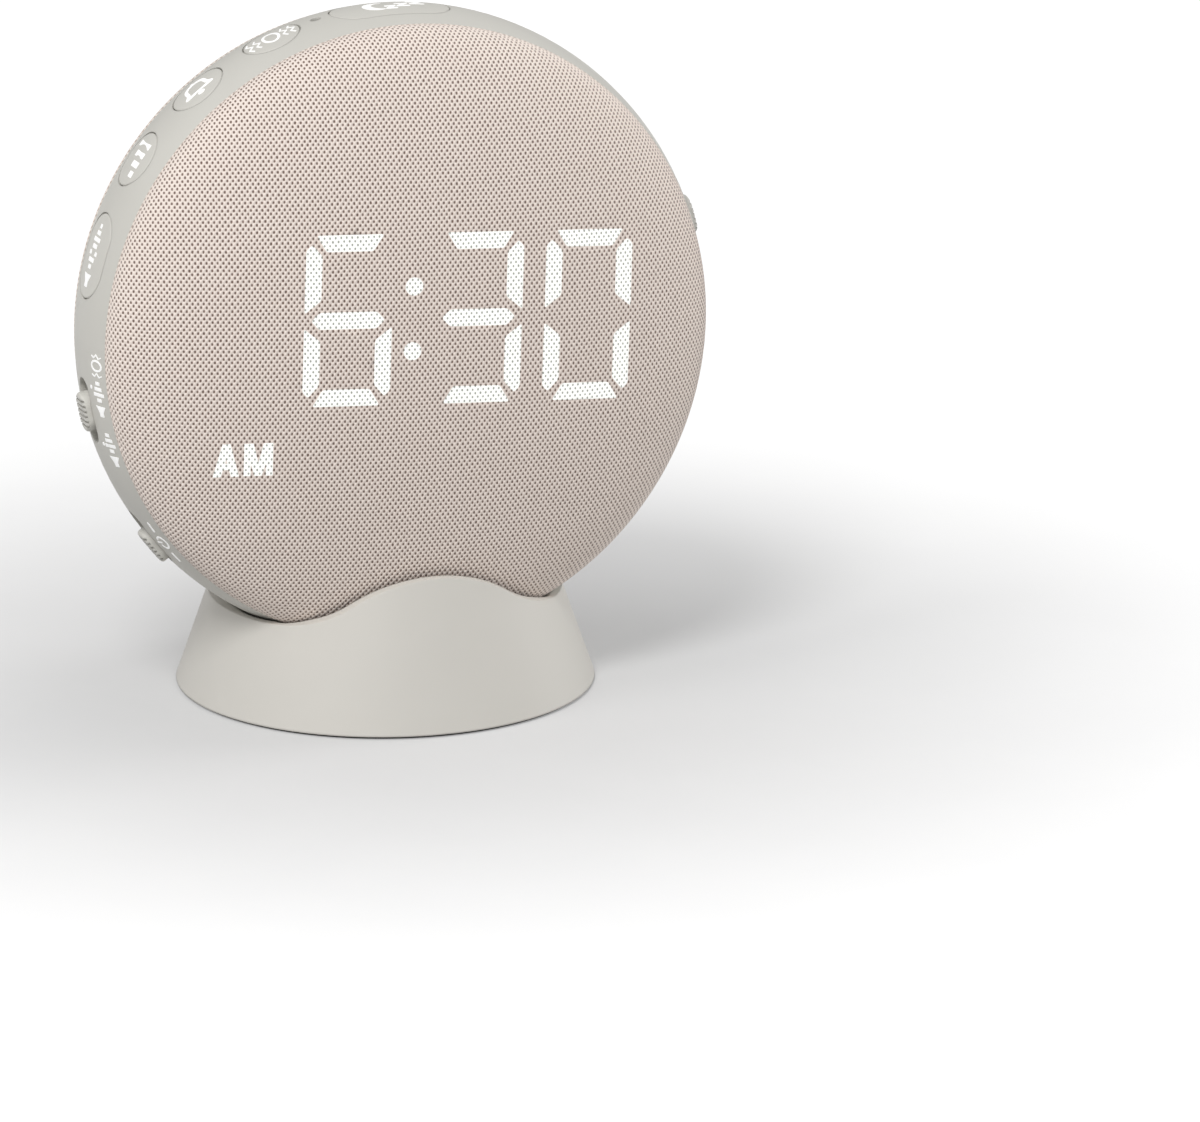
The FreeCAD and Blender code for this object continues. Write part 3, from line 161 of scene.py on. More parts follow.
class Nodes:
    """A material's node tree, with short ways to add nodes."""

    def __init__(self, name):
        self.material = bpy.data.materials.new(name)
        self.material.use_nodes = True
        self.tree = self.material.node_tree
        self.shader = self.tree.nodes["Principled BSDF"]

    def add(self, kind, inputs=None, **settings):
        """A node with its settings and its inputs, each a value or another node's output."""
        made = self.tree.nodes.new("ShaderNode" + kind)
        for name, value in settings.items():
            setattr(made, name, value)
        for name, value in (inputs or {}).items():
            self.set(made, name, value)
        return made

    def set(self, target, name, value):
        """A plain value or another node's output on a node's input."""
        socket = target.inputs[name]
        if isinstance(value, bpy.types.NodeSocket):
            self.tree.links.new(value, socket)
        else:
            socket.default_value = value

    def math(self, operation, *values):
        """The output of one sum."""
        made = self.add("Math", operation=operation)
        for number, value in enumerate(values):
            self.set(made, number, value)
        return made.outputs[0]

    def mix(self, share, first, second):
        """The first colour at share 0, the second at share 1."""
        made = self.add("Mix", data_type="RGBA")
        for number, value in ((0, share), (6, first), (7, second)):
            self.set(made, number, value)
        return made.outputs[2]

    def smooth(self, value, low, high):
        """0 below low, 1 above high and smooth between."""
        made = self.add("MapRange", interpolation_type="SMOOTHSTEP")
        for name, amount in (("Value", value), ("From Min", low), ("From Max", high)):
            self.set(made, name, amount)
        return made.outputs["Result"]

    def noise(self, vector, scale, detail=2.0, roughness=0.5):
        """Cloudy values around 0.5, with scale spots to a unit of the vector."""
        inputs = {"Vector": vector, "Scale": scale, "Detail": detail, "Roughness": roughness}
        return self.add("TexNoise", inputs).outputs["Fac"]

    def bump(self, height, strength, distance, normal=None):
        """The normal of a surface raised by height, at most by distance."""
        inputs = {"Height": height, "Strength": strength, "Distance": distance}
        if normal is not None:
            inputs["Normal"] = normal
        return self.add("Bump", inputs).outputs["Normal"]

    def place(self):
        """The point on the piece at rest, in metres."""
        return self.add("TexCoord").outputs["Object"]


def colour(red, green, blue):
    """A colour given as 0 to 255 screen values, 11 or more."""
    linear = [((value / 255 + 0.055) / 1.055) ** 2.4 for value in (red, green, blue)]
    return (*linear, 1.0)


def scaled(tint, share):
    """A lighter or darker shade of a colour."""
    return (*[min(1.0, part * share) for part in tint[:3]], 1.0)


# ---------------------------------------------------------------- materials


def moulded(name, tint, roughness=0.5, grain=0.10, painted_highlight=0.06, metallic=0.0):
    """Moulded or plated surface: fine grain, faint blotches, and edges painted a little lighter in patches
    as a highlight.
    """
    made = Nodes(name)
    place = made.place()
    blotch = made.noise(place, BLOTCH_SCALE, 3.0)
    base = made.mix(blotch, scaled(tint, 0.97), scaled(tint, 1.03))
    soft_normal = made.add("Bevel", {"Radius": EDGE_WIDTH}, samples=4).outputs["Normal"]
    hard_normal = made.add("NewGeometry").outputs["Normal"]
    facing = made.add("VectorMath", {0: soft_normal, 1: hard_normal}, operation="DOT_PRODUCT")
    edge = made.math("SUBTRACT", 1.0, made.smooth(facing.outputs["Value"], 0.80, 1.0))
    highlight_patches = made.smooth(made.noise(place, HIGHLIGHT_PATCH_SCALE, 4.0), 0.35, 0.7)
    # Painted highlight: the edges are made lighter in patches, whatever light falls on them
    painted_highlight_mask = made.math("MULTIPLY", made.math("MULTIPLY", edge, highlight_patches), painted_highlight * 4)
    made.set(made.shader, "Base Color", made.mix(painted_highlight_mask, base, scaled(tint, 1.25)))
    fine = made.noise(place, GRAIN_SCALE, 2.0, 0.6)
    patchy = made.math("MULTIPLY_ADD", blotch, 0.10, roughness - 0.05)
    made.set(made.shader, "Roughness", made.math("MULTIPLY_ADD", fine, 0.08, patchy))
    made.set(made.shader, "Normal", made.bump(fine, grain, GRAIN_HEIGHT, soft_normal))
    made.set(made.shader, "Metallic", metallic)
    return made.material


def woven(name, lit):
    """Open weave of pale threads around small holes painted dark as shade; lit cloth glows in front of the
    display.
    """
    made = Nodes(name)
    uv = made.add("UVMap", uv_map="cloth").outputs["UV"]
    wander = made.add("TexNoise", {"Vector": uv, "Scale": WANDER_SCALE, "Detail": 1.0}).outputs["Color"]
    centred = made.add("VectorMath", {0: wander, 1: (0.5, 0.5, 0.5)}, operation="SUBTRACT").outputs[0]
    drift = made.add("VectorMath", {0: centred, 3: WANDER}, operation="SCALE").outputs[0]
    moved = made.add("VectorMath", {0: uv, 1: drift}, operation="ADD").outputs[0]
    split = made.add("SeparateXYZ", {0: moved})
    across = made.math("MULTIPLY", split.outputs["X"], UV_SCALE * 2 * math.pi / HOLE_PITCH)
    along = made.math("MULTIPLY", split.outputs["Y"], UV_SCALE * math.pi / ROW_PITCH)
    lattice = made.math("MULTIPLY", made.math("COSINE", across), made.math("COSINE", along))

    uneven = made.noise(uv, UNEVEN_SCALE, 2.0)
    edge_low = made.math("MULTIPLY_ADD", uneven, HOLE_UNEVEN, HOLE_EDGE)
    edge_high = made.math("ADD", edge_low, HOLE_SOFT)
    drawn_out = made.add("VectorMath", {0: uv, 1: FIBRE_SCALE}, operation="MULTIPLY").outputs[0]
    fibre = made.noise(drawn_out, 1.0)
    if lit:
        low = made.math("ADD", edge_low, LIT_HOLE_SHRINK)
        hole = made.smooth(lattice, low, made.math("ADD", edge_high, LIT_HOLE_SHRINK))
        thread, hole_shade = colour(90, 90, 90), colour(20, 20, 20)
        glow = made.mix(hole, colour(254, 255, 251), colour(150, 153, 146))
        made.set(made.shader, "Emission Color", glow)
        made.shader.inputs["Emission Strength"].default_value = 1.0
    else:
        hole = made.smooth(lattice, edge_low, edge_high)
        slub = made.noise(uv, SLUB_SCALE, 4.0, 0.6)
        pale = made.mix(slub, colour(239, 219, 207), colour(249, 233, 223))
        # The fine fibres along the rows are painted lighter, as a highlight
        thread = made.mix(fibre, pale, colour(254, 245, 237))
        # Painted shade: the holes are dark, as shade seen through the cloth
        hole_shade = made.mix(uneven, colour(92, 71, 62), colour(146, 121, 109))
    made.set(made.shader, "Base Color", made.mix(hole, thread, hole_shade))
    made.set(made.shader, "Roughness", made.math("MULTIPLY_ADD", fibre, 0.15, 0.78))
    made.shader.inputs["Sheen Weight"].default_value = 1.0
    made.shader.inputs["Sheen Roughness"].default_value = 0.5
    made.shader.inputs["Sheen Tint"].default_value = colour(255, 244, 236)
    made.shader.inputs["Specular IOR Level"].default_value = 0.2
    crown = made.math("MULTIPLY", lattice, -1.0)
    height = made.math("MULTIPLY_ADD", fibre, 0.25, crown)
    made.set(made.shader, "Normal", made.bump(height, 0.55, WEAVE_DEPTH))
    return made.material


def twisted(name):
    """Cream stitches of the hem where a cover meets the band, with painted shade in the dip between each
    two.
    """
    made = Nodes(name)
    uv = made.add("UVMap", uv_map="cloth").outputs["UV"]
    strand = made.noise(uv, 60.0, 3.0)
    phase = made.math("MULTIPLY", made.add("SeparateXYZ", {0: uv}).outputs["X"], 2 * math.pi)
    stitch = made.smooth(made.math("COSINE", phase), -0.5, 0.3)
    cream = made.mix(strand, colour(230, 218, 208), colour(246, 238, 230))
    # Painted shade: the thread is darker between the stitches, in the dips
    made.set(made.shader, "Base Color", made.mix(stitch, colour(196, 180, 169), cream))
    made.set(made.shader, "Roughness", made.math("MULTIPLY_ADD", strand, 0.2, 0.7))
    made.set(made.shader, "Normal", made.bump(strand, 0.4, 0.0001))
    return made.material


def ink(name):
    """White pad-printed ink with a slightly mottled film, and a faint painted glow."""
    made = Nodes(name)
    film = made.noise(made.place(), 2600.0, 3.0)
    made.set(made.shader, "Base Color", made.mix(film, colour(249, 249, 248), colour(254, 254, 253)))
    made.set(made.shader, "Roughness", made.math("MULTIPLY_ADD", film, 0.2, 0.45))
    made.set(made.shader, "Normal", made.bump(film, 0.15, 0.00002))
    # Painted light: the ink glows faintly, as if it were brighter lit
    made.shader.inputs["Emission Color"].default_value = (1, 1, 1, 1)
    made.shader.inputs["Emission Strength"].default_value = 0.2
    return made.material


def circuit_board(name):
    """Green solder mask over faint copper tracks."""
    made = Nodes(name)
    place = made.place()
    tracks = made.add("TexBrick", {"Vector": place, "Scale": 260.0, "Mortar Size": 0.03}, offset=0.35)
    made.set(tracks, "Color1", (0.012, 0.10, 0.045, 1))
    made.set(tracks, "Color2", (0.016, 0.12, 0.055, 1))
    made.set(tracks, "Mortar", (0.05, 0.22, 0.10, 1))
    made.set(made.shader, "Base Color", tracks.outputs["Color"])
    film = made.noise(place, 900.0)
    made.set(made.shader, "Roughness", made.math("MULTIPLY_ADD", film, 0.15, 0.28))
    made.set(made.shader, "Normal", made.bump(tracks.outputs["Fac"], 0.2, 0.00004))
    return made.material


def slot_materials():
    """One material for each material slot of the record that shows CAD solids."""
    grey = colour(211, 208, 201)
    return {
        "stand_plastic": moulded("stand_plastic", grey, 0.5),
        "case_plastic": moulded("case_plastic", colour(208, 206, 199), 0.48),
        "button_plastic": moulded("button_plastic", colour(211, 209, 202), 0.45),
        "inner_plastic": moulded("inner_plastic", colour(222, 221, 217), 0.55),
        "foot_rubber": moulded("foot_rubber", colour(52, 51, 50), 0.8, 0.3, 0.02),
        "board": circuit_board("board"),
        "chip": moulded("chip", colour(38, 38, 41), 0.5, 0.25),
        "switch_plastic": moulded("switch_plastic", colour(44, 44, 45), 0.35),
        "steel": moulded("steel", colour(198, 198, 198), 0.3, 0.15, 0.05, 1.0),
        "weight_metal": moulded("weight_metal", colour(200, 186, 150), 0.35, 0.2, 0.05, 1.0),
        "magnet": moulded("magnet", colour(74, 74, 76), 0.6, 0.4),
        "cone_paper": moulded("cone_paper", colour(66, 64, 62), 0.85, 0.6, 0.02),
        "surround_rubber": moulded("surround_rubber", colour(48, 47, 46), 0.7, 0.2, 0.02),
        "cell_wrap": moulded("cell_wrap", colour(190, 194, 200), 0.3, 0.2),
        "light_block": moulded("light_block", colour(236, 236, 234), 0.5),
        "light_guide": moulded("light_guide", colour(248, 248, 246), 0.25),
        "diode": moulded("diode", colour(240, 226, 160), 0.2),
    }


# ---------------------------------------------------------------- the clock frame


def clock_matrix():
    """From the clock frame in millimetres to the row frame in metres."""
    front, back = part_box("front_fabric")[0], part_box("rear_fabric")[1]
    seat = Matrix.Translation((front + back) / 2) @ Matrix.Rotation(math.radians(90 - CLOCK_LEAN), 4, "X")
    return seat @ Matrix.Rotation(math.radians(-CLOCK_ROLL), 4, "Z") @ Matrix.Scale(MM, 4)


def band_radius(across):
    """The crowned band's radius at a distance in front of its middle line."""
    bend = ((BAND_WIDTH / 2) ** 2 + BAND_CROWN**2) / (2 * BAND_CROWN)
    return DISC_RADIUS - bend + math.sqrt(bend**2 - across**2)


def rim_point(angle, across, lift):
    """A point over the band, at an angle in radians."""
    radius = band_radius(across) + lift
    return Vector((radius * math.cos(angle), radius * math.sin(angle), across))


def dome_point(x, y):
    """A point of the front dome over its place in the clock frame."""
    share = min(1.0, math.hypot(x, y) / DOME_RADIUS)
    return Vector((x, y, BAND_WIDTH / 2 + DOME_HEIGHT * math.sqrt(1 - share**2)))


def new_piece(name, points, faces, material):
    """A mesh object in the scene, with one material."""
    mesh = bpy.data.meshes.new(name)
    mesh.from_pydata([tuple(point) for point in points], [], faces)
    mesh.materials.append(material)
    piece = bpy.data.objects.new(name, mesh)
    bpy.context.scene.collection.objects.link(piece)
    return piece


def shade_smooth(piece):
    """Smooth shading on every face."""
    piece.data.polygons.foreach_set("use_smooth", [True] * len(piece.data.polygons))


# ---------------------------------------------------------------- flat shapes


def ellipse(x, y, width, tall, count=24):
    """Points round an ellipse about a middle."""
    turns = [2 * math.pi * number / count for number in range(count)]
    return [(x + width / 2 * math.cos(turn), y + tall / 2 * math.sin(turn)) for turn in turns]


def arc(x, y, radius, start, finish, count=10):
    """Points along an arc between two angles in degrees."""
    steps = [math.radians(start + (finish - start) * number / count) for number in range(count + 1)]
    return [(x + radius * math.cos(turn), y + radius * math.sin(turn)) for turn in steps]


def stroke(points, width=INK_LINE, closed=False):
    """A line with round ends and corners, as overlapping shapes."""
    shapes = [ellipse(x, y, width, width, 10) for x, y in points]
    following = points[1:] + points[:1] if closed else points[1:]
    for (x0, y0), (x1, y1) in zip(points, following):
        length = math.hypot(x1 - x0, y1 - y0)
        across = (-(y1 - y0) / length * width / 2, (x1 - x0) / length * width / 2)
        sides = [(x0, y0, 1), (x0, y0, -1), (x1, y1, -1), (x1, y1, 1)]
        shapes.append([(x + side * across[0], y + side * across[1]) for x, y, side in sides])
    return shapes


def moved(shapes, x, y, scale=1.0):
    """The shapes scaled about the origin and then shifted."""
    return [[(x + scale * px, y + scale * py) for px, py in shape] for shape in shapes]


def bar(left, low, width, tall):
    """An upright rectangle from its lower left corner."""
    return [(left, low), (left + width, low), (left + width, low + tall), (left, low + tall)]


def anticlockwise(shape):
    """The shape's points in anticlockwise order."""
    following = shape[1:] + shape[:1]
    doubled_area = sum(x0 * y1 - x1 * y0 for (x0, y0), (x1, y1) in zip(shape, following))
    return shape if doubled_area > 0 else shape[::-1]


def triangles_over(shapes, points):
    """Triangles over points and shapes, each with the numbers of the shapes it lies in."""
    coords = [Vector(point) for point in points]
    faces = []
    for shape in shapes:
        faces.append(list(range(len(coords), len(coords) + len(shape))))
        coords += [Vector(point) for point in anticlockwise(shape)]
    verts, _, triangles, _, _, inside = geometry.delaunay_2d_cdt(coords, [], faces, 0, WELD)
    return verts, triangles, inside


# ---------------------------------------------------------------- display


def upright_segment(side, way):
    """Left or right segment of the upper (way 1) or lower (way -1) half of a digit."""
    half, top = DIGIT_WIDTH / 2, DIGIT_TALL / 2
    corners = [
        (half - 0.9, top - 1.4),
        (half, top - 2.3),
        (half, 1.1),
        (half - SEGMENT_THICK, 3.1),
        (half - SEGMENT_THICK, top - 3.2),
    ]
    return [(side * x, way * y) for x, y in corners]


def level_segment(way):
    """Top (way 1) or bottom (way -1) segment of a digit."""
    half, top = DIGIT_WIDTH / 2, DIGIT_TALL / 2
    corners = [
        (1.6 - half, top),
        (half - 1.6, top),
        (half - SEGMENT_THICK - 0.6, top - SEGMENT_THICK),
        (SEGMENT_THICK + 0.6 - half, top - SEGMENT_THICK),
    ]
    return [(x, way * y) for x, y in corners]


def digit(letters):
    """The segments a to g of a seven-segment digit that are named in letters."""
    half = DIGIT_WIDTH / 2 - 1.1
    thick = SEGMENT_THICK / 2
    middle = [(-half, 0), (1.3 - half, thick), (half - 1.3, thick), (half, 0)]
    middle += [(half - 1.3, -thick), (1.3 - half, -thick)]
    shapes = {
        "a": level_segment(1),
        "b": upright_segment(1, 1),
        "c": upright_segment(1, -1),
        "d": level_segment(-1),
        "e": upright_segment(-1, -1),
        "f": upright_segment(-1, 1),
        "g": middle,
    }
    return [shapes[letter] for letter in letters]


def eased(shape, cut=0.4):
    """The shape with its corners rounded over a short way along both of their edges."""
    points = []
    for before, corner, after in zip(shape[-1:] + shape[:-1], shape, shape[1:] + shape[:1]):
        start, finish = (
            Vector(corner).lerp(Vector(other), min(0.45, cut / math.dist(corner, other)))
            for other in (before, after)
        )
        middle = Vector(corner) / 2 + (start + finish) / 4
        points += [tuple(start), tuple(middle), tuple(finish)]
    return points


def mirrored(shape):
    """The shape flipped left to right."""
    return [(-x, y) for x, y in shape]


def letter_a():
    """Bold capital A about its middle."""
    leg = [(-2.1, -2.5), (-0.8, -2.5), (0.65, 2.5), (-0.65, 2.5)]
    return [leg, mirrored(leg), [(-1.3, -1.45), (1.3, -1.45), (1.0, -0.45), (-1.0, -0.45)]]


def letter_m():
    """Bold capital M about its middle."""
    leg = [(-2.3, -2.5), (-1.2, -2.5), (-1.2, 2.5), (-2.3, 2.5)]
    stroke_down = [(-2.3, 2.5), (-0.8, 2.5), (0.55, -2.5), (-0.55, -2.5)]
    return [leg, mirrored(leg), stroke_down, mirrored(stroke_down)]


def on_cloth(x, y):
    """Where a point of the flat display shows on the domed cloth."""
    lift = dome_point(x, y).z - dome_point(DISPLAY_X, DISPLAY_Y).z
    return (x + SLANT_X * lift, y + SLANT_Y * lift)


def lit_shapes():
    """Everything that shines through the front cover: 6:30 and AM."""
    inner = COLON_PITCH / 2
    steps = (-inner - DIGIT_PITCH, -inner, inner, inner + DIGIT_PITCH)
    shapes = []
    for number, letters in LIT.items():
        segments = [eased(segment) for segment in digit(letters)]
        shapes += moved(segments, DISPLAY_X + steps[number], DISPLAY_Y)
    for side in (-1, 1):
        middle_y = DISPLAY_Y + side * DOT_SPACING / 2
        shapes.append(ellipse(DISPLAY_X, middle_y, 2 * DOT_RADIUS, 2 * DOT_RADIUS))
    for side, letter in ((-1, letter_a()), (1, letter_m())):
        shapes += moved(letter, HALF_DAY_X + side * LETTER_SPREAD, HALF_DAY_Y)
    slope, lean = (math.tan(math.radians(turn)) for turn in (DISPLAY_SLOPE, DISPLAY_LEAN))
    return [
        [on_cloth(x + lean * (y - DISPLAY_Y), y + slope * (x - DISPLAY_X)) for x, y in shape]
        for shape in shapes
    ]


# ---------------------------------------------------------------- covers


def dome_rings():
    """The radius of each ring of the cover and the length of cloth out to it."""
    rings = [(0.0, 0.0)]
    length = 0.0
    last = Vector((0.0, DOME_HEIGHT))
    for number in range(1, COVER_RINGS + 1):
        turn = math.pi / 2 * number / COVER_RINGS
        here = Vector((DOME_RADIUS * math.sin(turn), DOME_HEIGHT * math.cos(turn)))
        length += (here - last).length
        last = here
        rings.append((here.x, length))
    return rings


def cloth_length(rings, radius):
    """The length of cloth from the middle of the dome out to a radius."""
    for (inner, short), (outer, long) in zip(rings, rings[1:]):
        if radius <= outer + 1e-6:
            return short + (long - short) * (radius - inner) / (outer - inner)
    return rings[-1][1]


def cover(name, side, shapes, materials, matrix):
    """A cloth cover over the front (side 1) or rear (side -1) dome, cut along the lit shapes."""
    rings = dome_rings()
    points = [(0.0, 0.0)]
    for radius, _ in rings[1:]:
        spokes = COVER_SPOKES if radius > DOME_RADIUS / 3 else COVER_SPOKES // 3
        turns = [2 * math.pi * number / spokes for number in range(spokes)]
        points += [(radius * math.cos(turn), radius * math.sin(turn)) for turn in turns]
    flat, faces, inside = triangles_over(shapes, points)
    solid = [dome_point(point.x, point.y) for point in flat]
    piece = new_piece(name, solid, faces, materials[0])
    for material in materials[1:]:
        piece.data.materials.append(material)
    for face, found in zip(piece.data.polygons, inside):
        face.material_index = 1 if found else 0
    uv = piece.data.uv_layers.new(name="cloth")
    for loop in piece.data.loops:
        point = flat[loop.vertex_index]
        radius = point.length
        share = cloth_length(rings, radius) / radius if radius > 1e-6 else 1.0
        uv.data[loop.index].uv = (point.x * share / UV_SCALE, point.y * share / UV_SCALE)
    shade_smooth(piece)
    turn = Matrix.Rotation(0 if side > 0 else math.pi, 4, "Y")
    piece.data.transform(matrix @ turn)
    solidify = piece.modifiers.new("Cloth thickness", "SOLIDIFY")
    solidify.thickness = COVER_THICKNESS * MM
    solidify.offset = -1
    return piece


def hem(name, side, material, matrix):
    """Twisted edge of a cover, laid in the corner against the band."""
    around, across = HEM_TWISTS * HEM_STEPS, HEM_SIDES
    points = []
    for step in range(around):
        turn = 2 * math.pi * step / around
        for part in range(across):
            angle = 2 * math.pi * part / across
            thick = HEM_RADIUS * (1 + HEM_WAVE * math.cos(HEM_TWISTS * turn - 2 * angle))
            radius = DOME_RADIUS - HEM_INSET + thick * math.cos(angle)
            height = BAND_WIDTH / 2 + HEM_RISE + thick * math.sin(angle)
            points.append((radius * math.cos(turn), radius * math.sin(turn), height))
    faces = []
    for step in range(around):
        for part in range(across):
            low = step * across
            high = (step + 1) % around * across
            following = (part + 1) % across
            faces.append((low + part, high + part, high + following, low + following))
    piece = new_piece(name, points, faces, material)
    uv = piece.data.uv_layers.new(name="cloth")
    for loop in piece.data.loops:
        step, part = divmod(loop.vertex_index, across)
        uv.data[loop.index].uv = (step * HEM_TWISTS / around, part / across)
    shade_smooth(piece)
    turn = Matrix.Rotation(0 if side > 0 else math.pi, 4, "Y")
    piece.data.transform(matrix @ turn)
    return piece


def covers(cloths, thread, matrix):
    """Both covers with their hems, attached to the clock in place of the CAD fabric, which is hidden."""
    for place, side, shapes in (("front", 1, lit_shapes()), ("rear", -1, [])):
        cloth = cover(place + "_cloth", side, shapes, cloths, matrix)
        edge = hem(place + "_hem", side, thread, matrix)
        for piece in (cloth, edge):
            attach(piece, "clock")
        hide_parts(place + "_fabric")


# ---------------------------------------------------------------- printed marks


def rim_mark(name, body, shapes, angle, material, matrix):
    """Ink on the rim: shapes read towards smaller angles and stand with their tops to the back."""
    xs = [x for shape in shapes for x, _ in shape]
    ys = [y for shape in shapes for _, y in shape]
    columns = int((max(xs) - min(xs)) / INK_STEP) + 1
    rows = int((max(ys) - min(ys)) / INK_STEP) + 1
    grid = [
        (min(xs) + column * INK_STEP, min(ys) + row * INK_STEP)
        for column in range(columns + 1)
        for row in range(rows + 1)
    ]
    flat, triangles, inside = triangles_over(shapes, grid)
    middle = math.radians(angle)
    points = [rim_point(middle - x / DISC_RADIUS, -y, INK_LIFT) for x, y in flat]
    faces = [triangle for triangle, found in zip(triangles, inside) if found]
    piece = new_piece(name, points, faces, material)
    mesh = bmesh.new()
    mesh.from_mesh(piece.data)
    loose = [vert for vert in mesh.verts if not vert.link_faces]
    bmesh.ops.delete(mesh, geom=loose, context="VERTS")
    mesh.to_mesh(piece.data)
    mesh.free()
    piece.data.transform(matrix)
    solidify = piece.modifiers.new("Ink film", "SOLIDIFY")
    solidify.thickness = 2 * INK_LIFT * MM
    solidify.offset = -1
    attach(piece, body)
    return piece


def zigzag(x):
    """A shaking line."""
    return [(x, 1.9), (x - 0.42, 0.95), (x + 0.42, 0.0), (x - 0.42, -0.95), (x, -1.9)]


def vibrate_icon(zigzags=2):
    """A shaking case between zigzags."""
    shapes = stroke(ellipse(0, 0, 2.4, 4.0), closed=True)
    for side in (-1, 1):
        for number in range(zigzags):
            shapes += stroke(zigzag(side * (2.25 + 1.25 * number)), SHAKE_LINE)
    return shapes


def bell_icon():
    """A bell with its knob and clapper."""
    outline = [(-1.7, -1.0), (-1.25, -0.4), *arc(0, 0.5, 1.2, 180, 0), (1.25, -0.4), (1.7, -1.0)]
    shapes = stroke(outline, closed=True)
    shapes.append(ellipse(0, -1.65, 0.9, 0.7))
    return shapes + stroke([(0, 1.7), (0, 2.0)])


def bars_icon():
    """Rising bars, for loudness."""
    return [bar(-2.1 + number * 1.15, -1.5, 0.7, 0.9 + number * 0.75) for number in range(4)]


def sound_icon(bars=(1.1, 2.2, 3.2, 1.8, 2.7, 1.5, 0.8)):
    """A loudspeaker and the bars of a sound wave after it."""
    shapes = [[(0, -0.6), (0.8, -0.6), (2.0, -1.5), (2.0, 1.5), (0.8, 0.6), (0, 0.6)]]
    shapes += [bar(2.8 + number * 1.05, -tall / 2, 0.65, tall) for number, tall in enumerate(bars)]
    return moved(shapes, -(2.4 + len(bars) * 1.05) / 2, 0)


def sleep_icon():
    """Crescent moon and three rising z's."""
    outside = arc(0, 0, 1.7, 60, 300, 20)
    inside = arc(0.85, 0, 1.47, 275, 85, 16)
    shapes = [outside + inside]
    for x, y, scale in ((1.5, -0.9, 0.8), (3.1, 0.0, 1.0), (5.0, 1.0, 1.2)):
        letter = [(-0.6, 0.6), (0.6, 0.6), (-0.6, -0.6), (0.6, -0.6)]
        shapes += stroke([(x + scale * px, y + scale * py) for px, py in letter])
    return moved(shapes, -1.6, -0.1)


def sun_icon():
    """A sun with eight rays."""
    shapes = [ellipse(0, 0, 1.5, 1.5)]
    for number in range(8):
        turn = math.radians(45 * number)
        away = [(radius * math.cos(turn), radius * math.sin(turn)) for radius in (1.2, 1.75)]
        shapes += stroke(away, THIN_LINE)
    return shapes


def clock_icon():
    """A clock face with two hands."""
    shapes = stroke(ellipse(0, 0, 3.6, 3.6), closed=True)
    return shapes + stroke([(0, 1.1), (0, 0), (0.85, -0.45)])


def power_icon():
    """A broken ring with a bar in its gap."""
    shapes = stroke(arc(0, 0, 1.0, 125, 415, 20), THIN_LINE)
    return shapes + stroke([(0, 0.3), (0, 1.35)], THIN_LINE)


def word(letters, tall):
    """ON or OFF in plain capitals about its middle."""
    stem_and_top = stroke([(0.26, 0.4), (-0.26, 0.4), (-0.26, -0.4)], LETTER_LINE)
    capitals = {
        "O": stroke(ellipse(0, 0, 0.66, 0.82), LETTER_LINE, closed=True),
        "F": stem_and_top + stroke([(-0.2, 0.0), (0.18, 0.0)], LETTER_LINE),
        "N": stroke([(-0.3, -0.4), (-0.3, 0.4), (0.3, -0.4), (0.3, 0.4)], LETTER_LINE),
    }
    shapes = []
    for number, letter in enumerate(letters):
        place = (number - (len(letters) - 1) / 2) * tall * 0.92
        shapes += moved(capitals[letter], place, 0, tall)
    return shapes


def marks(material, matrix):
    """All ink on the rim: on the buttons and beside the slide switches."""
    plus = stroke([(-1.2, 0), (1.2, 0)]) + stroke([(0, -1.2), (0, 1.2)])
    minus = stroke([(-1.2, 0), (1.2, 0)])
    on_buttons = (
        ("snooze", moved(sleep_icon(), 0, 0, 1.3), SNOOZE),
        ("vibration", vibrate_icon(), VIBRATION),
        ("alarm_set", moved(bell_icon(), 0, 0, 1.4), ALARM_SET),
        ("alarm_volume", moved(bars_icon(), 0, 0, 1.4), ALARM_VOLUME),
        ("sound", sound_icon(), SOUND),
        ("time_up", plus, TIME_UP),
        ("time_down", minus, TIME_DOWN),
        ("time_set", clock_icon(), TIME_SET),
    )
    for name, shapes, angle in on_buttons:
        piece = rim_mark(name + "_mark", name + "_button", shapes, angle, material, matrix)
    dot = [ellipse(0, 0, 0.6, 0.6, 12)]
    small_vibrate = moved(vibrate_icon(1), 0, 0, 0.65)
    small_sound = moved(sound_icon((1.3, 3.2, 2.2, 1.2)), 0, 0, 0.85)
    small_power = moved(power_icon(), 0, 0, 1.15)
    # The mode switch: vibration behind its middle, sound and sound with vibration in front
    mode = moved(small_vibrate, 0, SIGN_ROW) + moved(dot, 0, DOT_ROW)
    mode += moved(dot, -4.6, -DOT_ROW) + moved(dot, 4.6, -DOT_ROW)
    mode += moved(small_sound, -5.4, -SIGN_ROW) + moved(small_sound, 2.9, -SIGN_ROW)
    mode += moved(small_vibrate, 8.2, -SIGN_ROW)
    # The power switch: OFF and ON behind it, its sign between two short lines in front
    power = moved(word("OFF", LETTER_TALL), -3.4, SIGN_ROW) + moved(word("ON", LETTER_TALL), 3.0, SIGN_ROW)
    power += moved(dot, -2.6, POWER_DOT_ROW) + moved(dot, 2.6, POWER_DOT_ROW)
    power += moved(small_power, 0, -POWER_ROW)
    for side in (-1, 1):
        power += stroke([(side * 2.4, -POWER_ROW), (side * 4.0, -POWER_ROW)])
    on_band = (
        ("mode", mode, MODE),
        ("power", power, POWER),
        ("brightness", moved(sun_icon(), 0, -SUN_ROW), BRIGHTNESS),
    )
    for name, shapes, angle in on_band:
        piece = rim_mark(name + "_mark", "clock", shapes, angle, material, matrix)


# ---------------------------------------------------------------- stage


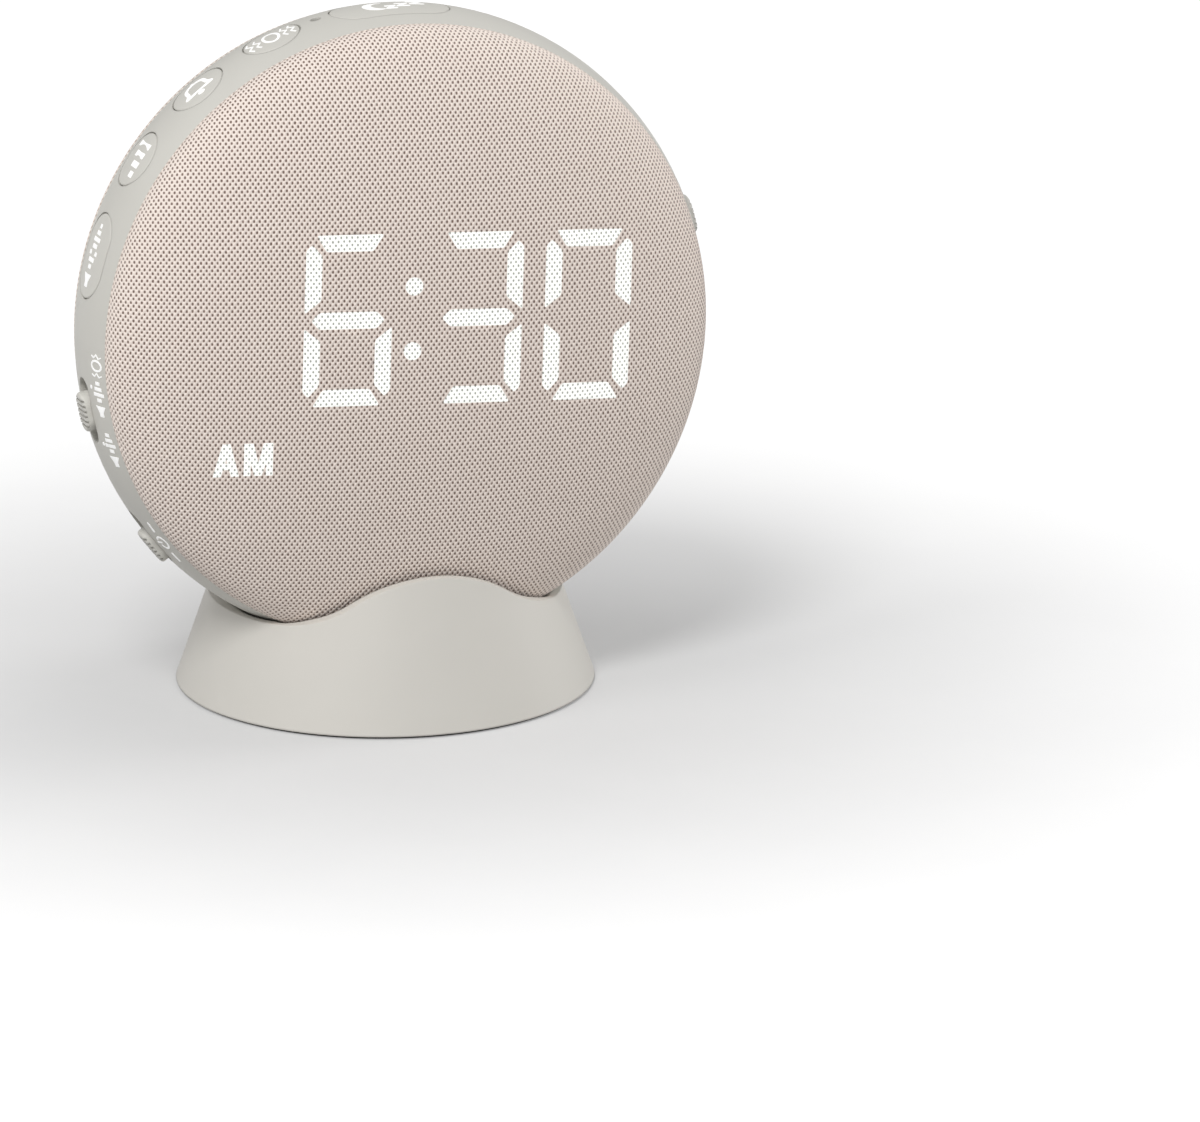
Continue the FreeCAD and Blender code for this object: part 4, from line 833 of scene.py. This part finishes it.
def floor():
    """A pale floor that fades to white for the camera, keeps the object's shadow, and has a painted
    shadow, darker towards the stand.
    """
    made = Nodes("floor")
    points = [Vector((0, 0, 0))]
    for ring in range(1, FLOOR_RINGS + 1):
        radius = FLOOR_RADIUS * (ring / FLOOR_RINGS) ** 3
        turns = [2 * math.pi * number / FLOOR_SPOKES for number in range(FLOOR_SPOKES)]
        points += [Vector((radius * math.cos(turn), radius * math.sin(turn), 0)) for turn in turns]
    faces = [(0, 1 + number, 1 + (number + 1) % FLOOR_SPOKES) for number in range(FLOOR_SPOKES)]
    for ring in range(1, FLOOR_RINGS):
        low, high = 1 + (ring - 1) * FLOOR_SPOKES, 1 + ring * FLOOR_SPOKES
        for number in range(FLOOR_SPOKES):
            following = (number + 1) % FLOOR_SPOKES
            faces.append((low + number, high + number, high + following, low + following))
    piece = new_piece("floor", points, faces, made.material)
    grain = made.noise(made.place(), 40.0, 3.0)
    made.set(made.shader, "Base Color", made.mix(grain, colour(186, 186, 186), colour(191, 191, 191)))
    made.shader.inputs["Roughness"].default_value = 0.9
    made.shader.inputs["Specular IOR Level"].default_value = 0.0
    path = made.add("LightPath")
    seen = made.math("MAXIMUM", path.outputs["Is Camera Ray"], path.outputs["Is Glossy Ray"])
    seen = made.math("MAXIMUM", seen, path.outputs["Is Transmission Ray"])
    made.shader.inputs["Emission Color"].default_value = (1, 1, 1, 1)
    # Painted shadow: for the camera the floor glows less towards the stand
    away = made.add("VectorMath", {0: made.place()}, operation="LENGTH").outputs["Value"]
    shade = made.smooth(away, SHADE_START, SHADE_END)
    near = made.math("MULTIPLY_ADD", shade, GLOW_OVER_SHADE, GLOW_AT_STAND)
    beyond = made.smooth(away, SHADE_END, WHITE_FROM)
    backdrop = made.math("MULTIPLY_ADD", beyond, GLOW_BEYOND, near)
    made.set(made.shader, "Emission Strength", made.math("MULTIPLY", seen, backdrop))


def soft_light(name, place, size, power):
    """A round lamp turned to the object."""
    data = bpy.data.lights.new(name, "AREA")
    data.shape = "DISK"
    data.size = size
    data.energy = power
    light = bpy.data.objects.new(name, data)
    bpy.context.scene.collection.objects.link(light)
    light.location = place
    light.rotation_mode = "QUATERNION"
    light.rotation_quaternion = (TARGET - Vector(place)).to_track_quat("-Z", "Y")


def lighting():
    """A white world, which lights the object less brightly than it looks itself, and the lamps."""
    world = bpy.data.worlds.new("studio")
    bpy.context.scene.world = world
    world.use_nodes = True
    tree = world.node_tree
    background = tree.nodes["Background"]
    path = tree.nodes.new("ShaderNodeLightPath")
    seen = tree.nodes.new("ShaderNodeMath")
    seen.operation = "MAXIMUM"
    tree.links.new(path.outputs["Is Camera Ray"], seen.inputs[0])
    tree.links.new(path.outputs["Is Transmission Ray"], seen.inputs[1])
    strength = tree.nodes.new("ShaderNodeMapRange")
    strength.inputs["To Min"].default_value = SKY_STRENGTH
    strength.inputs["To Max"].default_value = 1.0
    tree.links.new(seen.outputs[0], strength.inputs["Value"])
    tree.links.new(strength.outputs["Result"], background.inputs["Strength"])
    background.inputs["Color"].default_value = (1, 1, 1, 1)
    for name, place, size, power in LAMPS:
        soft_light(name, place, size, power)


def camera():
    """A long lens in front of the clock, a little to its left and above it."""
    data = bpy.data.cameras.new("camera")
    data.lens, data.sensor_width = LENS, SENSOR
    data.clip_start, data.clip_end = 0.05, 50
    made = bpy.data.objects.new("camera", data)
    bpy.context.scene.collection.objects.link(made)
    level = math.cos(ELEVATION)
    back = Vector((-math.sin(AZIMUTH) * level, -math.cos(AZIMUTH) * level, math.sin(ELEVATION)))
    made.location = TARGET + DISTANCE * back
    yaw, pitch = AZIMUTH + AIM_RIGHT, ELEVATION + AIM_DOWN
    forward = Vector((math.sin(yaw) * math.cos(pitch), math.cos(yaw) * math.cos(pitch), -math.sin(pitch)))
    made.rotation_mode = "QUATERNION"
    made.rotation_quaternion = forward.to_track_quat("-Z", "Y")
    bpy.context.scene.camera = made


# ---------------------------------------------------------------- scene


def finish_cad_nodes(frame, materials):
    """Every CAD node takes the material of its slot in the record."""
    for subpart in frame["record"]["subparts"]:
        slot = subpart["material_slot"]
        if slot in materials:
            data = frame["nodes"][subpart["node"]].data
            data.materials.clear()
            data.materials.append(materials[slot])


for item in list(bpy.data.objects):
    bpy.data.objects.remove(item)
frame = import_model()
clock = clock_matrix()
finish_cad_nodes(frame, slot_materials())
cloths = [woven("cover_cloth", False), woven("cover_cloth_lit", True)]
covers(cloths, twisted("hem_thread"), clock)
marks(ink("white_ink"), clock)
floor()
lighting()
camera()
bpy.context.scene.view_settings.view_transform = "Standard"
